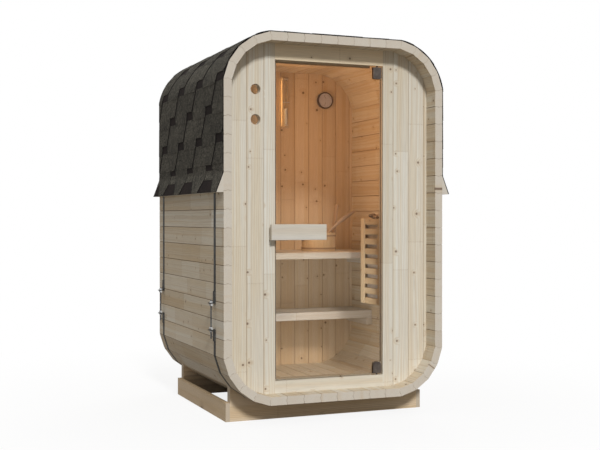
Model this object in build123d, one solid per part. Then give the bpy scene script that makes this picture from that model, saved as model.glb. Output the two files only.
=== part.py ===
from build123d import *
import math
import os

# Square-barrel garden sauna, in millimetres.
# X runs to the right, Y from the front to the back, Z up.
# The origin is on the ground, under the middle of the barrel.

# Staves of the barrel
stave_cover = 90.0
stave_thick = 42.0
groove_size = 2.5
top_staves = 8
corner_staves = 4
barrel_depth = 1220.0
barrel_lift = 92.0

# End walls, let into a groove round the inside of the barrel
wall_thick = 42.0
front_setback = 95.0
back_setback = 153.0
croze_depth = 10.0
seat_clear = 0.3

# Doorway, its bottom measured from the barrel's underside, and glass door
doorway_width = 600.0
doorway_bottom = 103.0
doorway_height = 1605.0
least_header = 100.0
glass_thick = 8.0
glass_setback = 8.0
door_gap = 7.5
door_floor_gap = 8.0
pivot_inset = 22.0
stop_width = 12.0
stop_gap = 5.0
stop_from_patch = 12.0

# Patch hinges at the top and bottom of the glass
patch_width = 46.0
patch_round = 8.0
patch_foot_flat = 4.6
patch_height = 60.0
patch_plate = 5.0
pivot_radius = 5.0
pivot_clear = 0.3
pivot_socket_depth = 18.0
pivot_seat_depth = 14.0
pivot_end_gap = 2.0

# Door handles: a board outside and a shorter one inside
handle_length = 297.0
handle_height = 79.0
handle_thick = 22.0
handle_ease = 2.0
handle_standoff = 30.0
handle_rise = 744.0
handle_past_doorway = 34.5
inner_handle_length = 230.0
standoff_radius = 9.0
standoff_stud_radius = 4.5
standoff_spacing = 160.0

# Vent holes in the front wall
vent_radius = 26.0
vent_from_doorway = 103.0
vent_below_head = 152.0
vent_spacing = 150.0

# Cradles and rails under the barrel
cradle_thick = 40.0
cradle_half_width = 522.0
cradle_height = 178.0
cradle_inset = 3.0
rail_thick = 22.0
rail_height = 94.0

# Tension straps
strap_width = 30.0
strap_thick = 1.5
front_strap_inset = 141.0
rear_strap_inset = 98.0
lug_rise = 434.0
lug_span = 128.0
lug_reach = 30.0
lug_plate = 4.0
lug_foot = 60.0
bolt_radius = 4.0
bolt_overhang = 45.0
bolt_tip = 6.0
nut_radius = 8.0
nut_height = 8.0

# Shingled roof skin and its eave battens
shingle_thick = 6.0
eave_drop = 786.0
eave_height = 95.0
eave_flare = 36.0

# Benches, measured up from the barrel's inside
upper_bench_thick = 37.0
lower_bench_thick = 45.0
bench_slat_width = 88.0
bench_slat_gap = 9.0
bench_ease = 2.0
upper_bench_rise = 686.0
upper_bench_slats = 5
lower_bench_rise = 335.0
lower_bench_slats = 3
bearer_height = 40.0
bearer_thick = 34.0

# Stove and its slatted guard
guard_depth = 224.0
guard_rise = 416.0
guard_height = 456.0
guard_post_width = 46.0
guard_near_post_width = 20.0
guard_post_thick = 20.0
guard_slat_count = 9
guard_slat_height = 32.0
guard_slat_thick = 16.0
stove_gap = 26.0
stove_wall_gap = 20.0
stove_height = 420.0
stove_above_guard_foot = 30.0
stove_sheet = 3.0
stone_tray = 50.0
stone_rise = 44.0
stone_ease = 14.0

# Bucket and ladle
bucket_radius = 100.0
bucket_height = 105.0
bucket_wall = 10.0
bucket_floor = 14.0
bucket_from_wall = 318.0
bucket_from_back = 225.0
ear_width = 44.0
ear_root = 30.0
tall_ear_rise = 165.0
tall_ear_lean = 8.0
short_ear_rise = 38.0
ladle_radius = 9.0
ladle_reach = 328.0
ladle_lean = 50.0
ladle_side = 36.0
scoop_radius = 27.0
scoop_height = 32.0
scoop_wall = 4.0
scoop_lift = 24.0

# Dial and sand timer on the back wall
dial_radius = 50.0
dial_thick = 24.0
dial_from_wall = 185.0
dial_below_top = 157.0
timer_x = 115.0
timer_below_top = 179.0
timer_width = 46.0
timer_height = 300.0
timer_board = 16.0
timer_tube_radius = 9.0
timer_tube_length = 270.0
timer_tube_seat = 1.0

# How far a cutting shape runs past the face it cuts
overcut = 1.0


front_y = -barrel_depth / 2
back_y = barrel_depth / 2
front_wall_y = front_y + front_setback
cabin_front_y = front_wall_y + wall_thick
back_wall_y = back_y - back_setback - wall_thick
corner_turn = 90.0 / (corner_staves + 1)


def unit(angle):
    return (math.cos(math.radians(angle)), math.sin(math.radians(angle)))


# The side walls get as many staves as the doorway's height asks for
corner_reach = sum(stave_cover * unit(corner_turn * (k + 1))[0] for k in range(corner_staves))
least_height = doorway_bottom + doorway_height + least_header
side_staves = math.ceil((least_height - 2 * corner_reach) / stave_cover)


def stave_headings():
    """Direction of each stave's face as the barrel's outline is walked clockwise."""
    headings = []
    for quarter, count in enumerate((top_staves, side_staves, top_staves, side_staves)):
        headings += [-90.0 * quarter] * count
        headings += [-90.0 * quarter - corner_turn * (k + 1) for k in range(corner_staves)]
    return headings


headings = stave_headings()
stave_count = len(headings)
half_width = top_staves * stave_cover / 2 + corner_reach
barrel_height = side_staves * stave_cover + 2 * corner_reach
barrel_top = barrel_lift + barrel_height
inner_half_width = half_width - stave_thick
inner_floor_z = barrel_lift + stave_thick
inner_top_z = barrel_top - stave_thick


def seam_points():
    """Outer corner of every seam, from the left end of the flat top."""
    points = [(-top_staves * stave_cover / 2, barrel_top)]
    for heading in headings:
        x, z = points[-1]
        dx, dz = unit(heading)
        points.append((x + stave_cover * dx, z + stave_cover * dz))
    return points


seams = seam_points()


def outward(index):
    return unit(headings[index % stave_count] + 90.0)


def inset_seam(index, depth):
    """The seam's point at a depth below the outer face, on its mitre."""
    before = outward(index - 1)
    after = outward(index)
    length = math.hypot(before[0] + after[0], before[1] + after[1])
    mitre = ((before[0] + after[0]) / length, (before[1] + after[1]) / length)
    reach = depth / (mitre[0] * after[0] + mitre[1] * after[1])
    x, z = seams[index % stave_count]
    return (x - reach * mitre[0], z - reach * mitre[1])


def along(point, index, distance):
    dx, dz = unit(headings[index % stave_count])
    return (point[0] + distance * dx, point[1] + distance * dz)


def outline(depth):
    """The barrel's outline at a depth below its outer face, one point for each bend."""
    bends = [i for i in range(stave_count) if headings[i] != headings[i - 1]]
    return [inset_seam(i, depth) for i in bends]


def prism(points, y_start, y_end):
    """A solid with the given X-Z outline, from one Y to another."""
    face = make_face(Polyline([Vector(x, y_start, z) for x, z in points], close=True))
    return extrude(face, amount=y_end - y_start, dir=(0, 1, 0))


def block(x_range, y_range, z_range):
    """A box between two values on each axis."""
    size = (x_range[1] - x_range[0], y_range[1] - y_range[0], z_range[1] - z_range[0])
    corner = Pos(x_range[0], y_range[0], z_range[0])
    return corner * Box(*size, align=(Align.MIN, Align.MIN, Align.MIN))


def save(solid, node, colour):
    solid.color = Color(*colour)
    solid.label = node
    export_step(solid, f"parts/{node}.step")


pine = (0.86, 0.76, 0.60)
warm_pine = (0.78, 0.60, 0.42)
steel = (0.55, 0.56, 0.58)
slate = (0.16, 0.16, 0.15)
os.makedirs("parts", exist_ok=True)


# Barrel of mitred staves

def stave_panel(first, count):
    """Neighbouring staves as one panel, with a V groove at each seam, inside and out."""
    outer = []
    inner = []
    for i in range(first, first + count):
        start = inset_seam(i, 0)
        end = inset_seam(i + 1, 0)
        outer.append(inset_seam(i, groove_size))
        outer.append(along(start, i, groove_size))
        outer.append(along(end, i, -groove_size))
        inner_start = inset_seam(i, stave_thick)
        inner_end = inset_seam(i + 1, stave_thick)
        inner.append(inset_seam(i, stave_thick - groove_size))
        inner.append(along(inner_start, i, groove_size))
        inner.append(along(inner_end, i, -groove_size))
    outer.append(inset_seam(first + count, groove_size))
    inner.append(inset_seam(first + count, stave_thick - groove_size))
    panel = prism(outer + inner[::-1], front_y, back_y)
    for wall_y in (front_wall_y, back_wall_y):
        panel -= prism(outline(stave_thick - croze_depth), wall_y, wall_y + wall_thick)
    return panel


panel_names = (
    ("barrel_top", "corner_top_right"),
    ("barrel_wall_right", "corner_bottom_right"),
    ("barrel_floor", "corner_bottom_left"),
    ("barrel_wall_left", "corner_top_left"),
)
first = 0
for quarter, (flat_name, corner_name) in enumerate(panel_names):
    flat_count = side_staves if quarter % 2 else top_staves
    save(stave_panel(first, flat_count), flat_name, pine)
    first += flat_count
    save(stave_panel(first, corner_staves), corner_name, pine)
    first += corner_staves


# End walls

def seam_groove(x, face_y, inward):
    """A V groove down a wall's face, where two of its upright boards meet."""
    reach = groove_size + overcut
    corners = [
        (x - reach, face_y - inward * overcut),
        (x + reach, face_y - inward * overcut),
        (x, face_y + inward * groove_size),
    ]
    face = make_face(Polyline([Vector(x, y, 0) for x, y in corners], close=True))
    return extrude(face, amount=barrel_top, dir=(0, 0, 1))


def end_wall(y_start, clear_half_width):
    """A wall of upright boards, with a V groove at each seam beyond the clear middle."""
    wall = prism(outline(stave_thick - croze_depth + seat_clear), y_start, y_start + wall_thick)
    last_seam = int(inner_half_width // stave_cover)
    for seam in range(-last_seam, last_seam + 1):
        x = seam * stave_cover
        if abs(x) >= clear_half_width:
            wall -= seam_groove(x, y_start, 1)
            wall -= seam_groove(x, y_start + wall_thick, -1)
    return wall


doorway_left = -doorway_width / 2
doorway_right = doorway_width / 2
sill_z = barrel_lift + doorway_bottom
head_z = sill_z + doorway_height
wall_y_range = (front_wall_y, cabin_front_y)
whole_z = (0, barrel_top)
front_wall = end_wall(front_wall_y, doorway_right + groove_size)
left_part = front_wall & block((-half_width, doorway_left), wall_y_range, whole_z)
for row in range(2):
    vent_z = head_z - vent_below_head - row * vent_spacing
    vent_x = doorway_left - vent_from_doorway
    left_part -= Pos(vent_x, front_wall_y, vent_z) * Rot(90, 0, 0) * Cylinder(
        vent_radius, 3 * wall_thick)
save(left_part, "front_wall_left", pine)
right_part = front_wall & block((doorway_right, half_width), wall_y_range, whole_z)
save(right_part, "front_wall_right", pine)

pivot_x = doorway_right - door_gap - pivot_inset
glass_y = front_wall_y + glass_setback
pivot_y = glass_y + glass_thick / 2


def pivot_hole(z_start, z_end):
    return Pos(pivot_x, pivot_y, z_start) * Cylinder(
        pivot_radius + seat_clear, z_end - z_start, align=(Align.CENTER, Align.CENTER, Align.MIN))


header = front_wall & block((doorway_left, doorway_right), wall_y_range, (head_z, barrel_top))
header -= pivot_hole(head_z - overcut, head_z + pivot_seat_depth)
save(header, "front_wall_header", pine)
sill = front_wall & block((doorway_left, doorway_right), wall_y_range, (0, sill_z))
sill -= pivot_hole(sill_z - pivot_seat_depth, sill_z + overcut)
save(sill, "front_wall_sill", pine)
save(end_wall(back_wall_y, 0), "back_wall", pine)


# Stops that the glass closes against, clear of the sweep of its hinge edge

glass_x = (doorway_left + door_gap, doorway_right - door_gap)
patch_x = (glass_x[1] - patch_width, glass_x[1])
stop_y = (glass_y + glass_thick + stop_gap, cabin_front_y)
stop_left_end = doorway_left + stop_width
stop_right_end = patch_x[0] - stop_from_patch
stop_left = block((doorway_left, stop_left_end), stop_y, (sill_z, head_z))
save(stop_left, "door_stop_left", pine)
stop_head = block((stop_left_end, stop_right_end), stop_y, (head_z - stop_width, head_z))
save(stop_head, "door_stop_head", pine)
stop_sill = block((stop_left_end, stop_right_end), stop_y,
                  (sill_z, sill_z + stop_width))
save(stop_sill, "door_threshold", pine)


# Glass door on two patch hinges

glass_z = (sill_z + door_floor_gap, head_z - door_floor_gap)
glass_y_range = (glass_y, glass_y + glass_thick)
handle_left = doorway_left - handle_past_doorway
handle_x = (handle_left, handle_left + handle_length)
inner_handle_x = (handle_x[1] - inner_handle_length, handle_x[1])
handle_middle_z = sill_z + handle_rise
handle_z = (handle_middle_z - handle_height / 2, handle_middle_z + handle_height / 2)
handle_back_y = glass_y - handle_standoff
inner_handle_y = glass_y + glass_thick + handle_standoff
standoff_middle = (inner_handle_x[0] + inner_handle_x[1]) / 2
standoff_places = (standoff_middle - standoff_spacing / 2, standoff_middle + standoff_spacing / 2)


def rod_y(x, z, radius, y_start, y_end):
    """A round bar along Y."""
    return Pos(x, y_start, z) * Rot(-90, 0, 0) * Cylinder(
        radius, y_end - y_start, align=(Align.CENTER, Align.CENTER, Align.MIN))


glass = block(glass_x, glass_y_range, glass_z)
for x in standoff_places:
    glass -= rod_y(x, handle_middle_z, standoff_stud_radius + seat_clear,
                   glass_y - overcut, glass_y + glass_thick + overcut)
for z_range in ((glass_z[0], glass_z[0] + patch_height), (glass_z[1] - patch_height, glass_z[1])):
    glass -= block(patch_x, glass_y_range, z_range)
save(glass, "door_glass", (0.55, 0.45, 0.36))


def patch_hinge(bottom):
    """Clamp on the glass corner, with its two plates and the socket of the pivot."""
    z_start = glass_z[0] if bottom else glass_z[1] - patch_height
    plates = block(patch_x, (glass_y - patch_plate, glass_y + glass_thick + patch_plate),
                   (z_start, z_start + patch_height))
    upright_corners = plates.edges().filter_by(Axis.Y).group_by(Axis.Z)[-1 if bottom else 0]
    plates = fillet(upright_corners, (patch_width - patch_foot_flat) / 2 if bottom else patch_round)
    socket_start = z_start - overcut if bottom else z_start + patch_height - pivot_socket_depth
    plates -= Pos(pivot_x, pivot_y, socket_start) * Cylinder(
        pivot_radius + pivot_clear, pivot_socket_depth + overcut,
        align=(Align.CENTER, Align.CENTER, Align.MIN))
    return plates


save(patch_hinge(True), "hinge_patch_bottom", steel)
save(patch_hinge(False), "hinge_patch_top", steel)


def pivot_pin(z_start, z_end):
    return Pos(pivot_x, pivot_y, z_start) * Cylinder(
        pivot_radius, z_end - z_start, align=(Align.CENTER, Align.CENTER, Align.MIN))


pin_reach = door_floor_gap + pivot_socket_depth - pivot_end_gap
save(pivot_pin(sill_z - pivot_seat_depth, sill_z + pin_reach), "pivot_pin_bottom", steel)
save(pivot_pin(head_z - pin_reach, head_z + pivot_seat_depth), "pivot_pin_top", steel)

outer_board = block(handle_x, (handle_back_y - handle_thick, handle_back_y), handle_z)
save(chamfer(outer_board.edges(), handle_ease), "door_handle_outer", pine)
inner_board = block(inner_handle_x, (inner_handle_y, inner_handle_y + handle_thick), handle_z)
save(chamfer(inner_board.edges(), handle_ease), "door_handle_inner", pine)
standoffs = Compound([
    rod_y(x, handle_middle_z, standoff_radius, handle_back_y, glass_y)
    + rod_y(x, handle_middle_z, standoff_stud_radius, glass_y, glass_y + glass_thick)
    + rod_y(x, handle_middle_z, standoff_radius, glass_y + glass_thick, inner_handle_y)
    for x in standoff_places])
save(standoffs, "door_handle_standoffs", steel)


# Room for the tension straps, in whatever lies on the barrel

strap_places = (("front", front_y + front_strap_inset), ("rear", back_y - rear_strap_inset))
lug_upper_z = barrel_lift + lug_rise + lug_span / 2
lug_lower_z = barrel_lift + lug_rise - lug_span / 2


def shell(depth_outer, depth_inner, y_start, y_end):
    """A closed band round the barrel between two offsets of its outline."""
    return prism(outline(depth_outer), y_start, y_end) - prism(outline(depth_inner), y_start, y_end)


def strap_slot(middle_y):
    half_slot = strap_width / 2 + seat_clear
    return shell(-strap_thick - seat_clear, seat_clear, middle_y - half_slot, middle_y + half_slot)


# Cradles cut to the barrel's underside, and the rails along their ends

def cradle(y_start):
    board = block((-cradle_half_width, cradle_half_width), (y_start, y_start + cradle_thick),
                  (0, cradle_height))
    board -= prism(outline(0), y_start - overcut, y_start + cradle_thick + overcut)
    for _, middle_y in strap_places:
        board -= strap_slot(middle_y)
    return board


base_front_y = cabin_front_y + cradle_inset
base_back_y = back_wall_y - cradle_inset
save(cradle(base_front_y), "cradle_front", pine)
save(cradle(base_back_y - cradle_thick), "cradle_rear", pine)
for side, name in ((-1, "base_rail_left"), (1, "base_rail_right")):
    ends = sorted((side * cradle_half_width, side * (cradle_half_width + rail_thick)))
    save(block(ends, (base_front_y, base_back_y), (0, rail_height)), name, pine)


# Tension straps round the barrel, each closed by a bolt between two lugs

def strap(middle_y):
    band = shell(-strap_thick, 0, middle_y - strap_width / 2, middle_y + strap_width / 2)
    gap = block((-half_width - 2 * strap_thick, -half_width + stave_thick),
                (middle_y - strap_width, middle_y + strap_width),
                (lug_lower_z, lug_upper_z))
    return band - gap


def strap_lugs(middle_y):
    """Angle lugs on the strap's two ends."""
    lugs = []
    wall_x = -half_width - strap_thick
    y_range = (middle_y - strap_width / 2, middle_y + strap_width / 2)
    for z, direction in ((lug_upper_z, 1), (lug_lower_z, -1)):
        foot_z = sorted((z, z + direction * lug_foot))
        plate_z = sorted((z, z + direction * lug_plate))
        foot = block((wall_x - lug_plate, wall_x), y_range, foot_z)
        ear = block((wall_x - lug_reach, wall_x), y_range, plate_z)
        hole = Pos(wall_x - lug_reach + nut_radius + lug_plate, middle_y, z) * Cylinder(
            bolt_radius + seat_clear, 3 * lug_plate)
        lugs.append(foot + ear - hole)
    return Compound(lugs)


def strap_bolt(middle_y):
    """Threaded rod through both lugs, with a nut outside each."""
    x = -half_width - strap_thick - lug_reach + nut_radius + lug_plate
    low = lug_lower_z - bolt_overhang
    high = lug_upper_z + lug_plate + nut_height + bolt_tip
    rod = Pos(x, middle_y, low) * Cylinder(
        bolt_radius, high - low, align=(Align.CENTER, Align.CENTER, Align.MIN))
    for z in (lug_upper_z + lug_plate, lug_lower_z - lug_plate - nut_height):
        rod += Pos(x, middle_y, z) * extrude(RegularPolygon(nut_radius, 6), nut_height)
    return rod


for place, middle_y in strap_places:
    save(strap(middle_y), f"strap_{place}", steel)
    save(strap_lugs(middle_y), f"strap_lugs_{place}", steel)
    save(strap_bolt(middle_y), f"strap_bolt_{place}", steel)


# Eave battens and the shingled skin over them

eave_bottom_z = barrel_top - eave_drop
eave_top_z = eave_bottom_z + eave_height


def eave_batten(side):
    wall_x = side * half_width
    points = [
        (wall_x, eave_bottom_z),
        (side * (half_width + eave_flare), eave_bottom_z),
        (wall_x, eave_top_z),
    ]
    batten = prism(points, front_y, back_y)
    for _, middle_y in strap_places:
        batten -= strap_slot(middle_y)
    return batten


save(eave_batten(-1), "eave_batten_left", pine)
save(eave_batten(1), "eave_batten_right", pine)

skin = shell(-shingle_thick, 0, front_y, back_y)
skin &= block((-2 * half_width, 2 * half_width), (front_y, back_y), (eave_top_z, 2 * barrel_top))
for side in (-1, 1):
    flare = [
        (side * half_width, eave_top_z),
        (side * (half_width + eave_flare), eave_bottom_z),
        (side * (half_width + eave_flare + shingle_thick), eave_bottom_z),
        (side * (half_width + shingle_thick), eave_top_z),
    ]
    skin += prism(flare, front_y, back_y)
for _, middle_y in strap_places:
    skin -= strap_slot(middle_y)
save(skin, "roof_shingles", slate)


# Benches on bearers screwed to the side walls

def bench(top_z, thick, slats):
    """Slats from wall to wall, from the back wall forwards."""
    boards = []
    for i in range(slats):
        y_end = back_wall_y - seat_clear - i * (bench_slat_width + bench_slat_gap)
        slat = block((-inner_half_width + seat_clear, inner_half_width - seat_clear),
                     (y_end - bench_slat_width, y_end), (top_z - thick, top_z))
        boards.append(chamfer(slat.edges().filter_by(Axis.X), bench_ease))
    return Compound(boards)


def bearers(top_z, thick, slats):
    depth = slats * bench_slat_width + (slats - 1) * bench_slat_gap
    y_end = back_wall_y - seat_clear
    pair = []
    for side in (-1, 1):
        x_range = sorted((side * (inner_half_width - bearer_thick), side * inner_half_width))
        pair.append(block(x_range, (y_end - depth, y_end),
                          (top_z - thick - bearer_height, top_z - thick)))
    return Compound(pair)


upper_bench_top = inner_floor_z + upper_bench_rise
lower_bench_top = inner_floor_z + lower_bench_rise
upper_bench = (upper_bench_top, upper_bench_thick, upper_bench_slats)
lower_bench = (lower_bench_top, lower_bench_thick, lower_bench_slats)
save(bench(*upper_bench), "bench_upper_slats", warm_pine)
save(bearers(*upper_bench), "bench_upper_bearers", warm_pine)
save(bench(*lower_bench), "bench_lower_slats", warm_pine)
save(bearers(*lower_bench), "bench_lower_bearers", warm_pine)


# Stove on the right wall, behind a slatted guard

guard_bottom = inner_floor_z + guard_rise
guard_top = guard_bottom + guard_height
guard_y = (cabin_front_y, cabin_front_y + guard_depth)
slat_pitch = (guard_height - guard_slat_height) / (guard_slat_count - 1)


def guard_panel(run, across, runs_along_x, near_width):
    """Two posts joined by a ladder of slats behind them."""
    def piece(run_range, across_range, z_range):
        if runs_along_x:
            return block(run_range, across_range, z_range)
        return block(across_range, run_range, z_range)

    panel = piece((run[0], run[0] + near_width), (across, across + guard_post_thick),
                  (guard_bottom, guard_top))
    panel += piece((run[1] - guard_post_width, run[1]), (across, across + guard_post_thick),
                   (guard_bottom, guard_top))
    for i in range(guard_slat_count):
        z = guard_bottom + i * slat_pitch
        panel += piece(run, (across + guard_post_thick - guard_slat_thick, across + guard_post_thick),
                       (z, z + guard_slat_height))
    return panel


side_guard = guard_panel(guard_y, doorway_right, False, guard_near_post_width)
save(side_guard, "stove_guard_side", warm_pine)
rear_guard = guard_panel((doorway_right + guard_post_thick, inner_half_width),
                         guard_y[1] - guard_post_thick, True, guard_post_width)
save(rear_guard, "stove_guard_rear", warm_pine)

stove_x = (doorway_right + stove_gap, inner_half_width)
stove_y = (guard_y[0] + stove_wall_gap, guard_y[1] - stove_gap)
stove_bottom = guard_bottom + stove_above_guard_foot
stove_top = stove_bottom + stove_height
inside_x = (stove_x[0] + stove_sheet, stove_x[1] - stove_sheet)
inside_y = (stove_y[0] + stove_sheet, stove_y[1] - stove_sheet)
tray_z = stove_top - stone_tray
stove = block(stove_x, stove_y, (stove_bottom, stove_top))
stove -= block(inside_x, inside_y, (tray_z, stove_top + overcut))
save(stove, "stove_body", steel)
stones = block(inside_x, inside_y, (tray_z, stove_top + stone_rise))
stones = chamfer(stones.faces().sort_by(Axis.Z)[-1].edges(), stone_ease)
save(stones, "stove_stones", (0.25, 0.24, 0.23))


# Bucket and ladle on the upper bench

align_low = (Align.CENTER, Align.CENTER, Align.MIN)
bucket_place = Pos(inner_half_width - bucket_from_wall, back_wall_y - bucket_from_back,
                   upper_bench_top)
bucket = bucket_place * Cylinder(bucket_radius, bucket_height, align=align_low)
bucket -= bucket_place * Pos(0, 0, bucket_floor) * Cylinder(
    bucket_radius - bucket_wall, bucket_height, align=align_low)
for side, rise, lean in ((-1, short_ear_rise, 0.0), (1, tall_ear_rise, tall_ear_lean)):
    ear = block((-bucket_wall / 2, bucket_wall / 2), (-ear_width / 2, ear_width / 2), (-ear_root, rise))
    ear_x = side * (bucket_radius - bucket_wall / 2)
    bucket += bucket_place * Pos(ear_x, 0, bucket_height) * Rot(0, lean, 0) * ear
save(bucket, "bucket", pine)

# The ladle stands in the bucket and leans on its rim, beside the tall ear
rim_x = math.sqrt((bucket_radius - bucket_wall) ** 2 - ladle_side ** 2)
lean_x, lean_z = unit(90.0 - ladle_lean)
handle_rim_x = rim_x - (ladle_radius + seat_clear) / lean_z
handle_foot_x = handle_rim_x - (bucket_height - scoop_lift) * lean_x / lean_z
scoop_place = bucket_place * Pos(handle_foot_x, -ladle_side, bucket_floor + seat_clear)
ladle = scoop_place * Cylinder(scoop_radius, scoop_height, align=align_low)
ladle -= scoop_place * Pos(0, 0, scoop_wall) * Cylinder(
    scoop_radius - scoop_wall, scoop_height, align=align_low)
ladle += bucket_place * Pos(handle_foot_x, -ladle_side, scoop_lift) * Rot(0, ladle_lean, 0) * Cylinder(
    ladle_radius, ladle_reach, align=align_low)
save(ladle, "ladle", warm_pine)


# Dial and sand timer on the back wall

dial = rod_y(inner_half_width - dial_from_wall, inner_top_z - dial_below_top, dial_radius,
             back_wall_y - dial_thick, back_wall_y)
save(dial, "dial", steel)
timer_z = inner_top_z - timer_below_top
tube_y = back_wall_y - timer_board - timer_tube_radius + timer_tube_seat
timer = block((timer_x - timer_width / 2, timer_x + timer_width / 2),
              (back_wall_y - timer_board, back_wall_y),
              (timer_z - timer_height / 2, timer_z + timer_height / 2))
timer += Pos(timer_x, tube_y, timer_z) * Cylinder(
    timer_tube_radius, timer_tube_length)
save(timer, "sand_timer", warm_pine)
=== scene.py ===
import math

import bpy
import numpy as np
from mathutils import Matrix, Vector


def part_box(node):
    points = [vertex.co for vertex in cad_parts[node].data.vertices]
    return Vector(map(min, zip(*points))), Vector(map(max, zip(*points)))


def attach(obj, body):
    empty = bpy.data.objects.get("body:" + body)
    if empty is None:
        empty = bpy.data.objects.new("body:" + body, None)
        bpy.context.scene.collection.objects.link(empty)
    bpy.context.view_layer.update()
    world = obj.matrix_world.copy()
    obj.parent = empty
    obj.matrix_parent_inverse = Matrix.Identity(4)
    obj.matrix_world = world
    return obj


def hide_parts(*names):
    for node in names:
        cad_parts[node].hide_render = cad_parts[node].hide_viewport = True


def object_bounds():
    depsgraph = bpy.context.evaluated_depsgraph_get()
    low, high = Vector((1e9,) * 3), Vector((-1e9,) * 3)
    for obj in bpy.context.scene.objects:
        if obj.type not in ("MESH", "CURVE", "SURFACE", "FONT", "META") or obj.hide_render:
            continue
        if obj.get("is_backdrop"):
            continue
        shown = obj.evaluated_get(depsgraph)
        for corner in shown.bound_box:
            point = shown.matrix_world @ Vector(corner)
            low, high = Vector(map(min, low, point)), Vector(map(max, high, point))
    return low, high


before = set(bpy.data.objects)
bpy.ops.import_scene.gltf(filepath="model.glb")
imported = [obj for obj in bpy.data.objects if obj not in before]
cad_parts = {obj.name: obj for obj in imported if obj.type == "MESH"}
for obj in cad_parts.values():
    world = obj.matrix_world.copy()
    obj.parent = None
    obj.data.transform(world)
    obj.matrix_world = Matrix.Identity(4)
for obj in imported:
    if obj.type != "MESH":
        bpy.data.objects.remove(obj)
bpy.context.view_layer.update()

rng = np.random.default_rng(8)
xAxis, yAxis, zAxis = np.eye(3)
fullTurn = 2 * math.pi
tree = None  # the node tree that is being built
print("frame loaded,", len(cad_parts), "nodes")


# Shader nodes

class Wire:
    # One output of a node. [] picks another output of that node, and arithmetic adds a Math node.
    def __init__(self, socket):
        self.socket = socket

    def __getitem__(self, output):
        return Wire(self.socket.node.outputs[output])

    def __add__(self, other):
        return maths("ADD", self, other)

    def __sub__(self, other):
        return maths("SUBTRACT", self, other)

    def __mul__(self, other):
        return maths("MULTIPLY", self, other)

    def __truediv__(self, other):
        return maths("DIVIDE", self, other)


def node(kind, sockets=None, **settings):
    # Adds a node, sets it up, and links or fills its sockets
    made = tree.nodes.new("ShaderNode" + kind)
    for key, value in settings.items():
        setattr(made, key, value)
    for key, value in (sockets or {}).items():
        if isinstance(value, Wire):
            tree.links.new(value.socket, made.inputs[key])
        else:
            made.inputs[key].default_value = value
    return Wire(made.outputs[0]) if len(made.outputs) else made


def maths(operation, *values):
    return node("Math", dict(enumerate(values)), operation=operation)


def mulAdd(a, b, c):
    return maths("MULTIPLY_ADD", a, b, c)


def between(value, low, high, toLow=0.0, toHigh=1.0):
    # Smooth step from one range to another
    return node("MapRange", {0: value, 1: low, 2: high, 3: toLow, 4: toHigh}, interpolation_type="SMOOTHSTEP")


def mix(factor, a, b, kind="MIX"):
    return node("Mix", {0: factor, 6: a, 7: b}, data_type="RGBA", blend_type=kind)[2]


def shaded(base, shade):
    return mix(1.0, base, node("CombineColor", {0: shade, 1: shade, 2: shade}), "MULTIPLY")


def parts(vector):
    split = node("SeparateXYZ", {0: vector})
    return split[0], split[1], split[2]


def objectPlace():
    return node("TexCoord")["Object"]


def attribute(name, output="Fac"):
    return node("Attribute", attribute_name=name)[output]


def noise(vector, scale, detail=2.0, rough=0.5):
    return node("TexNoise", {"Vector": vector, "Scale": scale, "Detail": detail, "Roughness": rough})["Fac"]


def startTree(newTree):
    global tree
    tree = newTree
    tree.nodes.clear()


def newMaterial(name):
    made = bpy.data.materials.new(name)
    made.use_nodes = True
    startTree(made.node_tree)
    return made


def finishSkin(height, strength, distance, sockets):
    # The principled shader with its bump, as the material's output
    bump = node("Bump", {"Height": height, "Strength": strength, "Distance": distance})
    node("OutputMaterial", {"Surface": node("BsdfPrincipled", {**sockets, "Normal": bump})})


def painted(look):
    # The look with its colours, given in steps of 0 to 255, turned into linear light
    def linear(steps):
        return tuple(((v / 255 + 0.055) / 1.055) ** 2.4 for v in steps) + (1.0,)
    return {key: linear(v) if isinstance(v, tuple) and len(v) == 3 else v for key, v in look.items()}


# Softwood: growth rings about a pith, long streaks, fibres, knots, finger joints and painted shade in the seams
# between boards.
# It works on a grain position: across the board, along it and into it, in metres.

def boardGrain(look, axes):
    # Grain position of a board that is cut from a bigger solid, from its place on the object
    place = parts(objectPlace())
    across, along, into = (place["XYZ".index(a)] for a in axes)
    turn = across / look["boardWidth"] + look["boardShift"]
    index = maths("FLOOR", turn)
    middle = turn - index - 0.5
    chance = node("TexWhiteNoise", {"W": index + look["seed"]}, noise_dimensions="1D")["Value"]
    grain = node("CombineXYZ", {0: mulAdd(chance, 0.08, middle * look["boardWidth"]),
                                1: mulAdd(chance, 31.7, along), 2: mulAdd(chance, 0.05, into + 0.6)})
    return grain, middle * 2.0, chance


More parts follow.
